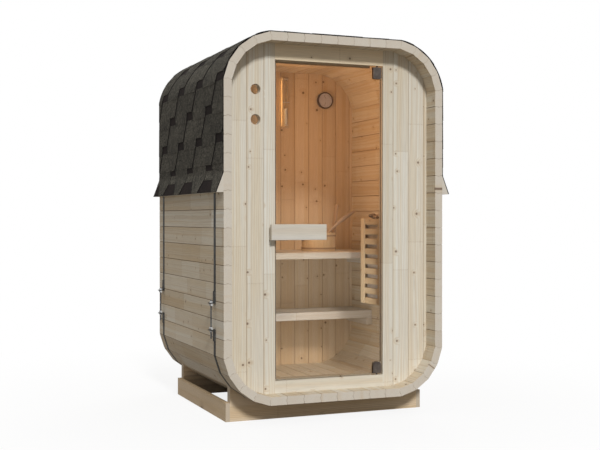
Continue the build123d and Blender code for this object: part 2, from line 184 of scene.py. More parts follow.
def woodMaterial(name, look, axes=None):
    made, look = newMaterial(name), painted(look)
    if axes is None:
        grain = attribute("grain", "Vector")
        edge, chance, cutEnd = parts(attribute("board", "Vector"))
    else:
        grain, edge, chance = boardGrain(look, axes)
        alongNormal = parts(node("TexCoord")["Normal"])["XYZ".index(axes[1])]
        cutEnd = between(maths("ABSOLUTE", alongNormal), 0.6, 0.9)
    gx, gy, gz = parts(grain)

    def stretched(acrossScale, alongScale, shift=0.0):
        return node("CombineXYZ", {0: mulAdd(gx, acrossScale, shift), 1: gy * alongScale, 2: gz * acrossScale})

    # Knots: round cells on the board's face, of which only some hold one
    cells = node("TexVoronoi", {"Vector": node("CombineXYZ", {0: gx, 1: gy, 2: 0.0}),
                                "Scale": look["knotScale"], "Randomness": 0.95}, voronoi_dimensions="2D")
    draw = node("SeparateColor", {0: cells["Color"]})
    size = mulAdd(draw[1], look["knotSize"], look["knotSize"] * 0.4)
    present = maths("GREATER_THAN", look["knotShare"], draw)
    farness = cells["Distance"] / look["knotScale"] / size
    core = between(farness, 0.5, 1.25, 1.0, 0.0) * present
    halo = between(farness, 0.9, 4.5, 1.0, 0.0) * present

    # Growth rings: distance from the pith, bent by slow noise and round the knots
    wander = noise(stretched(6.0, 0.8), 1.0)
    bent = mulAdd(wander - 0.5, 0.06, gx)
    radius = mulAdd(halo, 0.006, maths("SQRT", bent * bent + gz * gz))
    phase = maths("FRACT", radius * look["ringsPerMetre"])
    late = between(phase, 0.35, 0.9) * between(phase, 0.92, 1.0, 1.0, 0.0)
    heart = between(noise(stretched(30.0, 0.5, 4.0), 1.0, 3.0), 0.44, 0.64)
    blush = between(noise(stretched(22.0, 0.4, 9.0), 1.0), 0.46, 0.68)
    resin = between(noise(stretched(95.0, 3.2, 2.0), 1.0, 1.0), look["resinFrom"], 0.86)
    fibre = noise(stretched(420.0, 9.0), 1.0, 3.0, 0.6)

    # Finger joints: the board changes piece every so often, at a toothed line
    teeth = maths("PINGPONG", gx, 0.004)
    run = mulAdd(chance, 9.0, mulAdd(teeth, 1.6, gy) / look["jointRun"])
    piece = mulAdd(chance, 113.0, maths("FLOOR", run))
    piece = node("TexWhiteNoise", {"W": piece}, noise_dimensions="1D")["Color"]
    piece = node("SeparateColor", {0: piece})
    joint = between(maths("FRACT", run) * look["jointRun"], 0.0005, 0.0024, look["jointDark"], 0.0)
    # Each board darkens towards its edges in the seam colour: painted shade in the seam, with a browner tone at
    # the board's edge, less on its cut ends.
    rim = between(maths("ABSOLUTE", edge), look["seamFrom"], 1.0, 0.0, look["seamDark"])
    rim = rim * mulAdd(cutEnd, -0.9, 1.0)

    base = look["light"]
    for factor, tint, kind in (
            (heart * look["streak"], "warm", "MIX"), (blush * look["streak"], "blush", "MULTIPLY"),
            (late * look["rings"], "late", "MIX"), (chance * look["spread"], "tintA", "MULTIPLY"),
            (piece * look["spread"], "tintB", "MULTIPLY"), (cutEnd * look["endShare"], "endGrain", "MIX"),
            (cutEnd * late * 0.4, "late", "MIX"), (resin * 0.5, "seam", "MIX"), (halo * 0.35, "late", "MIX"),
            (core * 0.85, "knot", "MIX"), (joint, "seam", "MIX"), (rim, "seam", "MIX")):
        base = mix(factor, base, look[tint], kind)
    height = mulAdd(late, 0.5, fibre * 0.8) - joint * 1.5
    finishSkin(height, look["bump"], 0.0006, {
        "Base Color": shaded(base, between(fibre, 0.3, 0.7, 0.93, 1.05)),
        "Roughness": mulAdd(fibre, 0.2, look["rough"]), "Specular IOR Level": 0.3})
    return made


pineLook = {
    "light": (231, 230, 222), "warm": (226, 216, 194), "blush": (250, 245, 240), "late": (200, 177, 145),
    "knot": (112, 90, 72), "seam": (156, 124, 84), "endGrain": (209, 204, 195), "endShare": 0.75,
    "tintA": (246, 243, 238), "tintB": (244, 240, 234), "spread": 0.9,
    "ringsPerMetre": 210.0, "rings": 0.34, "streak": 0.6, "resinFrom": 0.74,
    "knotScale": 11.0, "knotSize": 0.0052, "knotShare": 0.34, "jointRun": 0.62, "jointDark": 0.5,
    "seamFrom": 0.955, "seamDark": 0.6, "bump": 0.35, "rough": 0.5,
    "boardWidth": 0.09, "boardShift": 0.0, "seed": 0.37,
}
oneBoard = {"boardWidth": 1.6, "boardShift": 0.5, "seamDark": 0.0}
staveLook = {**pineLook, "light": (228, 223, 210), "warm": (221, 206, 178), "knotShare": 0.28,
             "jointRun": 0.34, "jointDark": 0.4, "tintA": (238, 231, 220), "tintB": (240, 231, 218),
             "seamFrom": 0.935, "seamDark": 0.9, "seam": (122, 90, 56), "spread": 0.85}
headLook = {**pineLook, **oneBoard, "seed": 5.7}
# The header's wood is a brighter, warmer copy of the head wood: painted warm bounce light in the shade under the
# ring.
headerBounceLook = {**headLook, "light": (249, 234, 206), "warm": (240, 220, 184)}
backLook = {**pineLook, "light": (223, 207, 184), "warm": (214, 191, 156), "seed": 9.4, "knotShare": 0.5,
            "knotScale": 9.5, "knotSize": 0.0062, "seamDark": 0.85, "seam": (120, 84, 52)}
baseLook = {**pineLook, **oneBoard, "light": (238, 219, 192), "warm": (224, 200, 162), "late": (172, 146, 114),
            "knotScale": 6.0, "knotSize": 0.010, "knotShare": 0.5, "jointRun": 3.0, "endGrain": (200, 190, 174)}
benchLook = {**pineLook, "light": (219, 221, 222), "warm": (210, 207, 200), "seamDark": 0.0, "knotShare": 0.22}
guardLook = {**pineLook, "light": (216, 203, 176), "warm": (204, 186, 154), "knotShare": 0.1,
             "seamDark": 0.0, "jointRun": 4.0}
handleLook = {**pineLook, **oneBoard, "light": (230, 231, 230), "warm": (224, 221, 212),
              "knotShare": 0.0, "jointRun": 5.0, "rings": 0.25}

staveWood = woodMaterial("staveWood", staveLook)
benchWood = woodMaterial("benchWood", benchLook)
# A darker copy of the bench wood for the upper bench: painted shade that dims the lamp's light on it.
upperBenchShadedWood = woodMaterial("upperBenchShadedWood", {**benchLook, "light": (202, 202, 198), "warm": (194, 189, 177)})
guardWood = woodMaterial("guardWood", guardLook)
bucketWood = woodMaterial("bucketWood", {**guardLook, "light": (222, 206, 178), "warm": (208, 188, 152),
                                         "rings": 0.4})
ladleWood = woodMaterial("ladleWood", {**guardLook, "light": (166, 148, 131), "warm": (157, 134, 111)})
timerWood = woodMaterial("timerWood", {**backLook, "seamDark": 0.0, "knotShare": 0.0})
frontWood = woodMaterial("frontWood", {**pineLook, "seed": 3.1}, "XZY")
backWood = woodMaterial("backWood", backLook, "XZY")
stopWood = woodMaterial("stopWood", {**headLook, "seed": 8.2}, "XZY")
headWood = woodMaterial("headWood", headLook, "ZXY")
# Head wood with painted warm bounce light, for the header and the stop head
headerBounceWood = woodMaterial("headerBounceWood", headerBounceLook, "ZXY")
cradleWood = woodMaterial("cradleWood", baseLook, "ZXY")
handleWood = woodMaterial("handleWood", handleLook, "ZXY")
railWood = woodMaterial("railWood", {**baseLook, "seed": 6.3}, "ZYX")
battenWood = woodMaterial("battenWood", {**headLook, "seed": 2.2}, "ZYX")
print("wood materials ready")


def metalMaterial(name, look):
    # Rolled or brushed metal: slow stains in the colour, fine scratches in the gloss
    made, look = newMaterial(name), painted({**steelLook, **look})
    place = objectPlace()
    stain = noise(place, look["stainScale"], 4.0, 0.6)
    grit = noise(place, look["gritScale"], 3.0, 0.7)
    finishSkin(grit, look["bump"], 0.0003, {
        "Base Color": mix(between(stain, 0.35, 0.7), look["dark"], look["light"]),
        "Metallic": look["metallic"], "Roughness": mulAdd(grit, look["roughSpread"], look["rough"])})
    return made


steelLook = {"light": (226, 228, 230), "dark": (190, 192, 194), "stainScale": 60.0, "gritScale": 500.0,
             "rough": 0.3, "roughSpread": 0.2, "bump": 0.1, "metallic": 0.3}
boltSteel = metalMaterial("boltSteel", {"gritScale": 600.0})
rodSteel = metalMaterial("rodSteel", {"light": (118, 119, 120), "dark": (84, 85, 87), "gritScale": 600.0,
                                      "rough": 0.42, "metallic": 0.6})
strapSteel = metalMaterial("strapSteel", {"light": (112, 114, 114), "dark": (66, 68, 70), "stainScale": 26.0,
                                          "gritScale": 420.0, "roughSpread": 0.3, "bump": 0.2, "metallic": 0.85})
hingeSteel = metalMaterial("hingeSteel", {"light": (124, 115, 108), "dark": (100, 92, 87), "stainScale": 30.0,
                                          "rough": 0.35, "metallic": 0.7})
stoveSteel = metalMaterial("stoveSteel", {"light": (224, 218, 214), "dark": (194, 188, 184), "stainScale": 12.0,
                                          "gritScale": 300.0, "rough": 0.34, "roughSpread": 0.25, "bump": 0.15,
                                          "metallic": 0.25})
dialCaseFinish = metalMaterial("dialCaseFinish", {"light": (78, 58, 52), "dark": (58, 42, 38), "metallic": 0.2})
dialMarkFinish = metalMaterial("dialMarkFinish", {"light": (112, 70, 60), "dark": (96, 58, 50),
                                                  "stainScale": 90.0, "rough": 0.4, "bump": 0.05,
                                                  "metallic": 0.0})


def glassMaterial(name, look):
    # What is behind shows through the tint, with a mirror that grows towards grazing.
    # A flat pane's cut edges are dark.
    made, look = newMaterial(name), painted(look)
    share = mulAdd(node("Fresnel", {"IOR": 1.45}), look["mirror"], look["haze"])
    if look["flat"]:
        acrossPane = maths("ABSOLUTE", parts(node("TexCoord")["Normal"])[1])
        share = maths("MAXIMUM", share, between(acrossPane, 0.2, 0.6, 0.9, 0.0))
    through = node("BsdfTransparent", {"Color": look["tint"]})
    mirror = node("BsdfPrincipled", {"Base Color": look["body"], "Roughness": look["rough"], "Metallic": 0.0})
    node("OutputMaterial", {"Surface": node("MixShader", {0: share, 1: through, 2: mirror})})
    return made


doorGlass = glassMaterial("doorGlass", {"tint": (0.93, 0.89, 0.845, 1.0), "body": (122, 108, 98), "rough": 0.03,
                                        "mirror": 0.8, "haze": 0.06, "flat": True})
tubeGlass = glassMaterial("tubeGlass", {"tint": (0.97, 0.97, 0.97, 1.0), "body": (190, 190, 186), "rough": 0.05,
                                        "mirror": 0.7, "haze": 0.03, "flat": False})


def shingleMaterial(name, look):
    # Mineral granules pressed in bitumen: light and dark specks over a slow stain, and painted shadow along a lap
    made, look = newMaterial(name), painted(look)
    place = objectPlace()
    cells = node("TexVoronoi", {"Vector": place, "Scale": 420.0})
    speck = node("SeparateColor", {0: cells["Color"]})
    patch = noise(place, 14.0, 5.0, 0.65)
    cluster = noise(place, 60.0, 5.0, 0.95)
    base = mix(between(patch, 0.3, 0.7), look["dark"], look["light"])
    base = mix(between(speck, 0.72, 0.95), base, look["speck"])
    base = mix(between(speck, 0.28, 0.05), base, look["pit"])
    shade = mulAdd(attribute("tone"), look["spread"], 1.0 - look["spread"] / 2)
    base = shaded(base, shade * between(cluster, 0.38, 0.62, 0.5, 1.5))
    height = mulAdd(cluster, 1.2, maths("SUBTRACT", 1.0, cells["Distance"]))
    # The lap mark is painted shadow: each tooth's lapped strip darkens towards the pit colour.
    finishSkin(height, 0.6, 0.0009, {"Base Color": mix(attribute("lap") * 0.9, base, look["pit"]),
                                     "Roughness": 0.88, "Specular IOR Level": 0.25})
    return made


fieldShingle = shingleMaterial("fieldShingle", {
    "light": (78, 75, 67), "dark": (58, 55, 50), "speck": (122, 118, 106), "pit": (26, 24, 22), "spread": 0.25})
shadowShingle = shingleMaterial("shadowShingle", {
    "light": (36, 27, 25), "dark": (26, 19, 18), "speck": (52, 42, 38), "pit": (16, 12, 11), "spread": 0.2})
cutShingle = shingleMaterial("cutShingle", {
    "light": (26, 24, 22), "dark": (18, 17, 16), "speck": (36, 34, 32), "pit": (12, 11, 10), "spread": 0.1})


def mineralMaterial(name, look):
    # Broken stone or pressed matter: blotches, crystals and a rough skin
    made, look = newMaterial(name), painted(look)
    place = objectPlace()
    tone = attribute("tone") if look["toned"] else 0.5
    blotch = noise(place, look["scale"], 5.0, 0.65)
    crystal = node("TexVoronoi", {"Vector": place, "Scale": look["scale"] * 7})["Distance"]
    base = mix(between(blotch, 0.34, 0.66), look["dark"], look["light"])
    base = mix(between(crystal, 0.5, 0.1, 0.0, 0.25), base, look["fleck"])
    base = shaded(base, mulAdd(tone, look["spread"], 1.0 - look["spread"] / 2))
    finishSkin(mulAdd(blotch, 2.0, crystal), look["bump"], 0.0015,
               {"Base Color": base, "Roughness": look["rough"]})
    return made


stoneMaterial = mineralMaterial("stoneMaterial", {
    "light": (204, 188, 172), "dark": (120, 104, 94), "fleck": (206, 194, 180), "scale": 60.0, "spread": 0.9,
    "bump": 0.5, "rough": 0.8, "toned": True})
sandFinish = mineralMaterial("sandFinish", {
    "light": (240, 243, 250), "dark": (228, 230, 236), "fleck": (246, 248, 252), "scale": 420.0, "spread": 0.0,
    "bump": 0.15, "rough": 0.9, "toned": False})
dialPlateFinish = mineralMaterial("dialPlateFinish", {
    "light": (194, 196, 214), "dark": (182, 182, 198), "fleck": (202, 204, 220), "scale": 90.0, "spread": 0.0,
    "bump": 0.05, "rough": 0.5, "toned": False})
print("metal, glass and shingle materials ready")


# Meshes from arrays. A face is a row of four corners, and -1 stands for a corner that it hasn't got.

def addMesh(name, points, faces, material, slotName, nodes=(), values=None, smooth=0.0, second=None,
            body="cabin"):
    points = np.asarray(points, np.float32).reshape(-1, 3)
    real = faces >= 0
    corners = real.sum(1)
    mesh = bpy.data.meshes.new(name)
    mesh.vertices.add(len(points))
    mesh.vertices.foreach_set("co", points.ravel())
    mesh.loops.add(int(corners.sum()))
    mesh.loops.foreach_set("vertex_index", faces[real].astype(np.int32))
    mesh.polygons.add(len(faces))
    mesh.polygons.foreach_set("loop_start", (np.cumsum(corners) - corners).astype(np.int32))
    mesh.update(calc_edges=True)
    for key, value in (values or {}).items():
        value = np.asarray(value, np.float32)
        kind, field = ("FLOAT", "value") if value.ndim == 1 else ("FLOAT_VECTOR", "vector")
        mesh.attributes.new(key, kind, "POINT").data.foreach_set(field, value.ravel())
    mesh.materials.append(material)
    if second:
        mesh.materials.append(second[0])
        mesh.polygons.foreach_set("material_index", np.asarray(second[1], np.int32))
    if smooth:
        mesh.shade_smooth()
        mesh.set_sharp_from_angle(angle=math.radians(smooth))
    else:
        mesh.shade_flat()
    made = bpy.data.objects.new(name, mesh)
    bpy.context.scene.collection.objects.link(made)
    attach(made, body)
    if nodes:
        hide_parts(*nodes)


def outward(points, faces):
    # The faces as they are or all turned over, so that the body's volume is positive.
    # A missing corner counts as the one before it.
    a, b, c, d = points[np.where(faces < 0, np.roll(faces, 1, 1), faces)].transpose(1, 0, 2)
    return faces if (a * (np.cross(b, c) + np.cross(c, d))).sum() > 0 else faces[:, ::-1]


def manyFaces(faces, points):
    # The same faces for each of several bodies; points has a row for each body
    size = points[0].size // 3
    faces = outward(points[0].reshape(-1, 3), faces)
    starts = (np.arange(len(points)) * size)[:, None, None]
    return np.where(faces < 0, -1, faces + starts).reshape(-1, 4)


def joined(bodies):
    # Several (points, faces) as one
    clouds = [np.asarray(body[0]).reshape(-1, 3) for body in bodies]
    starts = np.cumsum([0] + [len(cloud) for cloud in clouds[:-1]])
    faces = [np.where(body[1] < 0, -1, body[1] + start) for body, start in zip(bodies, starts)]
    return np.concatenate(clouds), np.concatenate(faces)


def ringFaces(poles, count):
    # Quads between rings of points, one ring to a row. A pole is a ring of one point, and the
    # quads that meet there are triangles.
    size = np.where(poles, 1, count)
    index = (np.cumsum(size) - size)[:, None] + np.where(poles[:, None], 0, np.arange(count))
    after = np.roll(index, -1, 1)
    faces = np.stack([index[:-1], after[:-1], after[1:], index[1:]], -1).reshape(-1, 4)
    faces[faces[:, 0] == faces[:, 1], 1] = -1
    faces[faces[:, 2] == faces[:, 3], 3] = -1
    return faces


def barFaces(stations, levels):
    # A bar whose ring climbs its left side level by level and comes down its right side:
    # quads round the ring between stations, and a ladder of quads on each end
    ring, k = 2 * levels, np.arange(levels - 1)
    near = np.stack([k, ring - 1 - k, ring - 2 - k, k + 1], -1)
    far = near[:, ::-1] + (stations - 1) * ring
    return np.concatenate([ringFaces(np.zeros(stations, bool), ring), near, far])


def grainValues(across, along, into, halfWidth):
    # Attributes of many boards: place in the grain, each board's own chance, and its cut ends
    count = across.shape[0]
    shape = (count,) + (1,) * (across.ndim - 1)
    chance = rng.random(count).reshape(shape)
    pithX = rng.uniform(-0.04, 0.04, count).reshape(shape)
    pithZ = rng.uniform(0.02, 0.09, count).reshape(shape)
    start = rng.uniform(0, 40, count).reshape(shape)
    cutEnd = np.zeros(across.shape)
    cutEnd[:, [0, -1]] = 1.0
    grain = np.stack(np.broadcast_arrays(across + pithX, along + start, into + pithZ), -1)
    board = np.stack(np.broadcast_arrays(across / halfWidth, chance, cutEnd), -1)
    return {"grain": grain.reshape(-1, 3), "board": board.reshape(-1, 3)}


def boardSet(name, boards, material, ease, slotName, nodes=()):
    # Boards as eased bars: each is a rectangle with cut corners carried along its length,
    # a little smaller at both ends. boards is rows of (centre, along, across, size).
    centre, along, across, size = (np.array([b[i] for b in boards], float) for i in range(4))
    into = np.cross(along, across)
    end = np.array([1.0, 0.0, 0.0, 1.0])[None, :, None]
    stops, _, level = np.moveaxis(np.stack([-size / 2, -size / 2 + ease, size / 2 - ease, size / 2], -1), 1, 0)
    width, thick = size[:, 1, None, None], size[:, 2, None, None]
    half = width[:, 0] / 2 - np.array([ease, 0, 0, ease])
    a = np.concatenate([-half, half[:, ::-1]], -1)[:, None] * (1 - end * 2 * ease / width)
    d = np.concatenate([level, level[:, ::-1]], -1)[:, None] * (1 - end * 2 * ease / thick)
    l = np.broadcast_to(stops[:, :, None], a.shape)
    points = (centre[:, None, None] + a[..., None] * across[:, None, None]
              + d[..., None] * into[:, None, None] + l[..., None] * along[:, None, None])
    addMesh(name, points, manyFaces(barFaces(4, 4), points), material, slotName, nodes,
            grainValues(a, l, d, width / 2))


def sweep(centres, way, halfWidth, halfThick, levels, power):
    # A rounded rectangle, level across Y, carried along a path: its half width and half thickness
    # may change on the way. Its corners are a superellipse's: cosine and sine raised to the power.
    a = -math.pi / 2 + math.pi * (np.arange(levels) + 0.5) / levels
    wide = np.abs(np.cos(a)) ** power
    tall = np.sign(np.sin(a)) * np.abs(np.sin(a)) ** power
    a = np.asarray(halfWidth)[:, None] * np.concatenate([-wide, wide[::-1]])
    d = np.asarray(halfThick)[:, None] * np.concatenate([tall, tall[::-1]])
    points = centres[:, None] + a[..., None] * yAxis + d[..., None] * np.cross(way, yAxis)
    return points, outward(points.reshape(-1, 3), barFaces(len(centres), levels)), a, d


def revolve(profile, count, reach=None):
    # A profile of (radius, height) turned about Z. Ends on the axis close as poles.
    # reach, where given, limits the radius by angle and height, as a hexagon does.
    profile = np.asarray(profile, float)
    angle = np.arange(count) * fullTurn / count
    radius, height = (np.repeat(profile[:, [k]], count, 1) for k in (0, 1))
    if reach:
        radius = np.minimum(radius, reach(angle, height))
    poles = profile[:, 0] < 1e-6
    points = np.stack([radius * np.cos(angle), radius * np.sin(angle), height], -1)
    points = points[~poles[:, None] | (np.arange(count) == 0)]
    return points, outward(points, ringFaces(poles, count))


def placed(body, place, zWay=(0, 0, 1)):
    # A body moved so that its own Z looks along the given direction and its X along the object's
    turned = np.asarray(body[0]).reshape(-1, 3) @ np.stack([xAxis, np.cross(zWay, xAxis), zWay])
    return turned + np.array(place, float), body[1]


# The barrel: staves walked round its outline, each one its own bar

barrel = {
    "cover": 0.09, "thick": 0.042, "topStaves": 8, "cornerStaves": 4,
    "ease": 0.0022, "endEase": 0.0005, "gap": 0.0002, "bead": 0.005, "beadHalf": 0.009,
    "names": (("barrelTop", "barrel_top"), ("cornerTopRight", "corner_top_right"),
              ("barrelWallRight", "barrel_wall_right"), ("cornerBottomRight", "corner_bottom_right"),
              ("barrelFloor", "barrel_floor"), ("cornerBottomLeft", "corner_bottom_left"),
              ("barrelWallLeft", "barrel_wall_left"), ("cornerTopLeft", "corner_top_left")),
}
wallLow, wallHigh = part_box("barrel_wall_left")
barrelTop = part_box("barrel_top")[1].z
barrelFront, barrelBack = wallLow.y, wallHigh.y
sideStaves = round((wallHigh.z - wallLow.z) / barrel["cover"])
turn = 90 / (barrel["cornerStaves"] + 1)
headings = []
for quarter, flatCount in enumerate((barrel["topStaves"], sideStaves) * 2):
    headings += [-90.0 * quarter] * flatCount
    headings += [-90.0 * quarter - turn * (k + 1) for k in range(barrel["cornerStaves"])]
headings = np.radians(headings)
tangent = np.stack([np.cos(headings), np.sin(headings)], -1)
outwards = np.stack([-np.sin(headings), np.cos(headings)], -1)
seamPoint = np.array([-barrel["topStaves"] * barrel["cover"] / 2, barrelTop]) + np.concatenate(
    [[[0, 0]], np.cumsum(tangent[:-1], 0)]) * barrel["cover"]
mitre = outwards + np.roll(outwards, 1, 0)
mitre /= np.linalg.norm(mitre, axis=1, keepdims=True)
mitreReach = 1 / np.einsum("ij,ij->i", mitre, outwards)
seamways = np.stack([mitre[:, 1], -mitre[:, 0]], -1)


def insetSeam(index, depth):
    # The seam's point at a depth below the outer face, on its mitre
    return seamPoint[index] - (np.asarray(depth) * mitreReach[index])[..., None] * mitre[index]


def staveBars(first, count):
    # Cross-section: a V cut at each corner and a bead on one side that fits the next stave's cove
    look = barrel
    arc = np.linspace(-1, 1, 9)
    depths = np.concatenate([[0, look["ease"]], look["thick"] / 2 + look["beadHalf"] * arc,
                             [look["thick"] - look["ease"], look["thick"]]])
    bulge = np.concatenate([[0, 0], look["bead"] * np.sqrt(1 - arc ** 2), [0, 0]])
    cut = np.full(len(depths), look["gap"])
    cut[[0, -1]] += look["ease"]
    here, after = (np.arange(first + k, first + k + count)[:, None] % len(headings) for k in (0, 1))
    middle = (insetSeam(here, 0.0) + insetSeam(after, 0.0)) / 2
    stations = []
    for y, shrink in ((barrelFront, look["endEase"]), (barrelFront + look["endEase"], 0.0),
                      (barrelBack - look["endEase"], 0.0), (barrelBack, look["endEase"])):
        inner = shrink + depths * (1 - 2 * shrink / look["thick"])
        left = insetSeam(here, inner[None]) + (cut + shrink + bulge)[None, :, None] * seamways[here]
        right = insetSeam(after, inner[None]) + (bulge - cut - shrink)[None, :, None] * seamways[after]
        ring = np.concatenate([left, right[:, ::-1]], 1)
        across = np.einsum("nrk,nok->nr", ring - middle, tangent[here])
        depth = np.broadcast_to(np.concatenate([inner, inner[::-1]]), across.shape)
        stations.append(np.stack([ring[..., 0], np.full(across.shape, y), ring[..., 1], across, depth], -1))
    x, y, z, across, depth = np.moveaxis(np.stack(stations, 1), -1, 0)
    points = np.stack([x, y, z], -1)
    return points, manyFaces(barFaces(4, len(depths)), points), grainValues(across, y, depth, look["cover"] / 2)


first = 0
for order, (name, barrelNode) in enumerate(barrel["names"]):
    count = barrel["cornerStaves"] if order % 2 else (sideStaves if order % 4 == 2 else barrel["topStaves"])
    points, faces, values = staveBars(first, count)
    addMesh(name, points, faces, staveWood, "pine", (barrelNode,), values)
    first += count
print("barrel of", len(headings), "staves")


# Nodes that keep their solid and take a finish

finishes = {
    frontWood: ("front_wall_left", "front_wall_right"),
    headWood: ("front_wall_sill", "door_threshold"),
    headerBounceWood: ("front_wall_header", "door_stop_head"),
    stopWood: ("door_stop_left",),
    backWood: ("back_wall",),
    cradleWood: ("cradle_front", "cradle_rear"),
    railWood: ("base_rail_left", "base_rail_right"),
    battenWood: ("eave_batten_left", "eave_batten_right"),
    handleWood: ("door_handle_outer", "door_handle_inner"),
    hingeSteel: ("hinge_patch_bottom", "hinge_patch_top", "pivot_pin_bottom", "pivot_pin_top",
                 "door_handle_standoffs"),
    strapSteel: ("strap_front", "strap_rear", "strap_lugs_front", "strap_lugs_rear"),
    doorGlass: ("door_glass",),
    stoveSteel: ("stove_body",),
}
for material, names in finishes.items():
    for name in names:
        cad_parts[name].data.materials.clear()
        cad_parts[name].data.materials.append(material)
print("finishes on the kept nodes")


# Roof: raised teeth in lapped courses over a dark under-sheet, from both eaves to the ridge.
# A tooth is high along its front edge and runs down to the next one's foot.

roof = {
    "course": 0.149, "pitch": 0.3405, "firstNotch": 0.232, "firstButt": 1.2215,
    "notchTall": 0.052, "notchTop": 0.0475, "notchFoot": 0.059, "lean": 0.06, "slit": 0.008, "lap": 0.008,
    "frontHeight": (0.0058, 0.0040), "rearHeight": (0.0036, 0.0026), "under": 0.0018,
    "lapStrip": 0.014, "rows": 12, "arcSteps": 4,
    "eaveRise": (0.0, 0.068, 0.117, 0.138, 0.147), "eaveFront": (0.146, 0.090, 0.060, 0.0475, 0.0475),
    "eaveRear": (0.085, 0.0475, 0.0475, 0.0475, 0.0475), "eaveHeight": 0.9,
    "patch": 0.0027, "patchRise": (0.068, 0.117), "patchSpan": (-0.12, 0.06),
    "leastWidth": 0.01, "leastEdge": 0.003, "ridgeClear": 0.03,
    "capCover": 0.145, "capHalf": 0.125, "capHeight": (0.0059, 0.0042),
}
eaveLow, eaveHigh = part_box("eave_batten_left")
depthY = barrelBack - barrelFront


def roofPath(arcSteps):
    # The roof's line from the left eave over the top to the right eave. Each bent stave's stretch
    # follows the circle through the corner's seams; with one step it follows the stave itself.
    bends = barrel["cornerStaves"]
    corner = seamPoint[(len(headings) - bends) % len(headings)]
    radius = barrel["cover"] / 2 / math.sin(math.radians(turn / 2))
    start = math.radians(180 - turn / 2)
    centre = corner - radius * np.array([math.cos(start), math.sin(start)])
    angle = start - np.radians(turn) * np.arange(bends * arcSteps + 1) / arcSteps
    arc = centre + radius * np.stack([np.cos(angle), np.sin(angle)], -1)
    eave = np.array([[eaveLow.x, eaveLow.z], [eaveHigh.x, eaveHigh.z]])
    left = np.concatenate([eave, arc, [[0.0, barrelTop]]])
    return np.concatenate([left, left[-2::-1] * [-1, 1]])


path, chords = roofPath(roof["arcSteps"]), roofPath(1)
eaveEnd, arcEnd = 2, 2 + barrel["cornerStaves"] * roof["arcSteps"]
onChord = (np.arange(len(path) // 2 + 1) - eaveEnd) / roof["arcSteps"] + eaveEnd
onChord[:eaveEnd] = range(eaveEnd)
onChord[arcEnd + 1:] = eaveEnd + barrel["cornerStaves"] + 1
innerLeft = np.stack([np.interp(onChord, np.arange(len(chords)), chords[:, k]) for k in (0, 1)], -1)
innerPath = np.concatenate([innerLeft, innerLeft[-2::-1] * [-1, 1]])
steps = np.linalg.norm(np.diff(path, axis=0), axis=1)
pathAt = np.concatenate([[0], np.cumsum(steps)])
pathTangent = np.diff(path, axis=0) / steps[:, None]
pathMiddle = (pathAt[1:] + pathAt[:-1]) / 2


def onRoof(s, y, height, line=path):
    # A point at a distance along the roof's line, lifted along a normal that turns evenly at the bends
    spot = np.stack([np.interp(s, pathAt, line[:, k]) for k in (0, 1)], -1)
    tx, tz = (np.interp(s, pathMiddle, pathTangent[:, k]) for k in (0, 1))
    length = np.hypot(tx, tz)
    spot = spot + height[..., None] * np.stack([-tz / length, tx / length], -1)
    return np.stack(np.broadcast_arrays(spot[..., 0], y, spot[..., 1]), -1)


def slab(frontY, rearY, s, frontTop, rearTop, bottom, mirror=False, line=path):
    # A closed slab on the roof. By row it has a front and a rear edge and a height at each:
    # a grid on top, a grid beneath and a rim round both, dark where the sides are cut. Its last
    # column marks the lapped strip, where the material paints shadow.
    width = rearY - frontY
    strip = np.minimum(roof["lapStrip"], width * 0.4)
    share = np.stack([0 * width, width / 3, width * 2 / 3, width - strip, width], -1) / width[:, None]
    y = barrelFront + frontY[:, None] + share * width[:, None]
    rows, cols = y.shape
    along = np.repeat(s[:, None], cols, 1)
    along = pathAt[-1] - along if mirror else along
    upper = onRoof(along, y, frontTop[:, None] * (1 - share) + rearTop[:, None] * share)
    lower = onRoof(along, y, np.full(y.shape, bottom), line)
    points = np.concatenate([upper.reshape(-1, 3), lower.reshape(-1, 3)])
    index = np.arange(rows * cols).reshape(rows, cols)
    quad = np.stack([index[:-1, :-1], index[:-1, 1:], index[1:, 1:], index[1:, :-1]], -1).reshape(-1, 4)
    border = np.concatenate([index[0], index[1:, -1], index[-1, -2::-1], index[-2:0:-1, 0]])
    follow = np.roll(border, -1)
    rim = np.stack([border, border + rows * cols, follow + rows * cols, follow], -1)
    faces = outward(points, np.concatenate([quad, quad[:, ::-1] + rows * cols, rim]))
    butt, side = np.zeros(cols - 1, int), np.ones(rows - 1, int)
    isCut = np.concatenate([np.zeros(2 * len(quad), int), butt, side, butt, side])
    # Painted shadow: the last column carries the lap mark along each tooth's lapped edge.
    lap = np.tile((np.arange(cols) == cols - 1).astype(float), 2 * rows)
    return points, faces, isCut, lap


def tooth(frontY, rearY, base, rise, mirror, heightScale=1.0):
    # One slab of a course, cut off at the barrel's ends; nothing where none of it is left
    frontY, rearY = np.clip(frontY, 0, depthY), np.clip(rearY, 0, depthY)
    if (rearY - frontY).max() < roof["leastWidth"]:
        return []
    rearY = np.maximum(rearY, frontY + roof["leastEdge"])
    frontY = np.minimum(frontY, rearY - roof["leastEdge"])
    fade = np.clip(rise / roof["course"], 0, 1)
    tops = ((low + (high - low) * fade) * heightScale for low, high in (roof["frontHeight"], roof["rearHeight"]))
    return [slab(frontY, rearY, base + rise, *tops, roof["under"] / 2, mirror)]


def course(base, top, offset, mirror, upperOnly):
    # Between two notches below, between two leaning slits above
    look = roof
    centres = np.arange(-2, 6) * look["pitch"] + look["firstNotch"] + offset * look["pitch"] / 2
    low = np.linspace(0, look["notchTall"], 5)
    high = np.linspace(look["notchTall"], top - base + look["lap"], look["rows"])
    foot = look["notchFoot"] + (look["notchTop"] - look["notchFoot"]) * low / look["notchTall"]
    slitAt = -look["notchTop"] - (high - look["notchTall"]) * look["lean"] / (look["course"] - look["notchTall"])
    slit, made = look["slit"] / 2, []
    for here, after in zip(centres[:-1], centres[1:]):
        if not upperOnly:
            made += tooth(here + foot, after - foot, base, low, mirror)
        made += tooth(here + slitAt + slit, after + slitAt - slit, base, high, mirror)
    return made


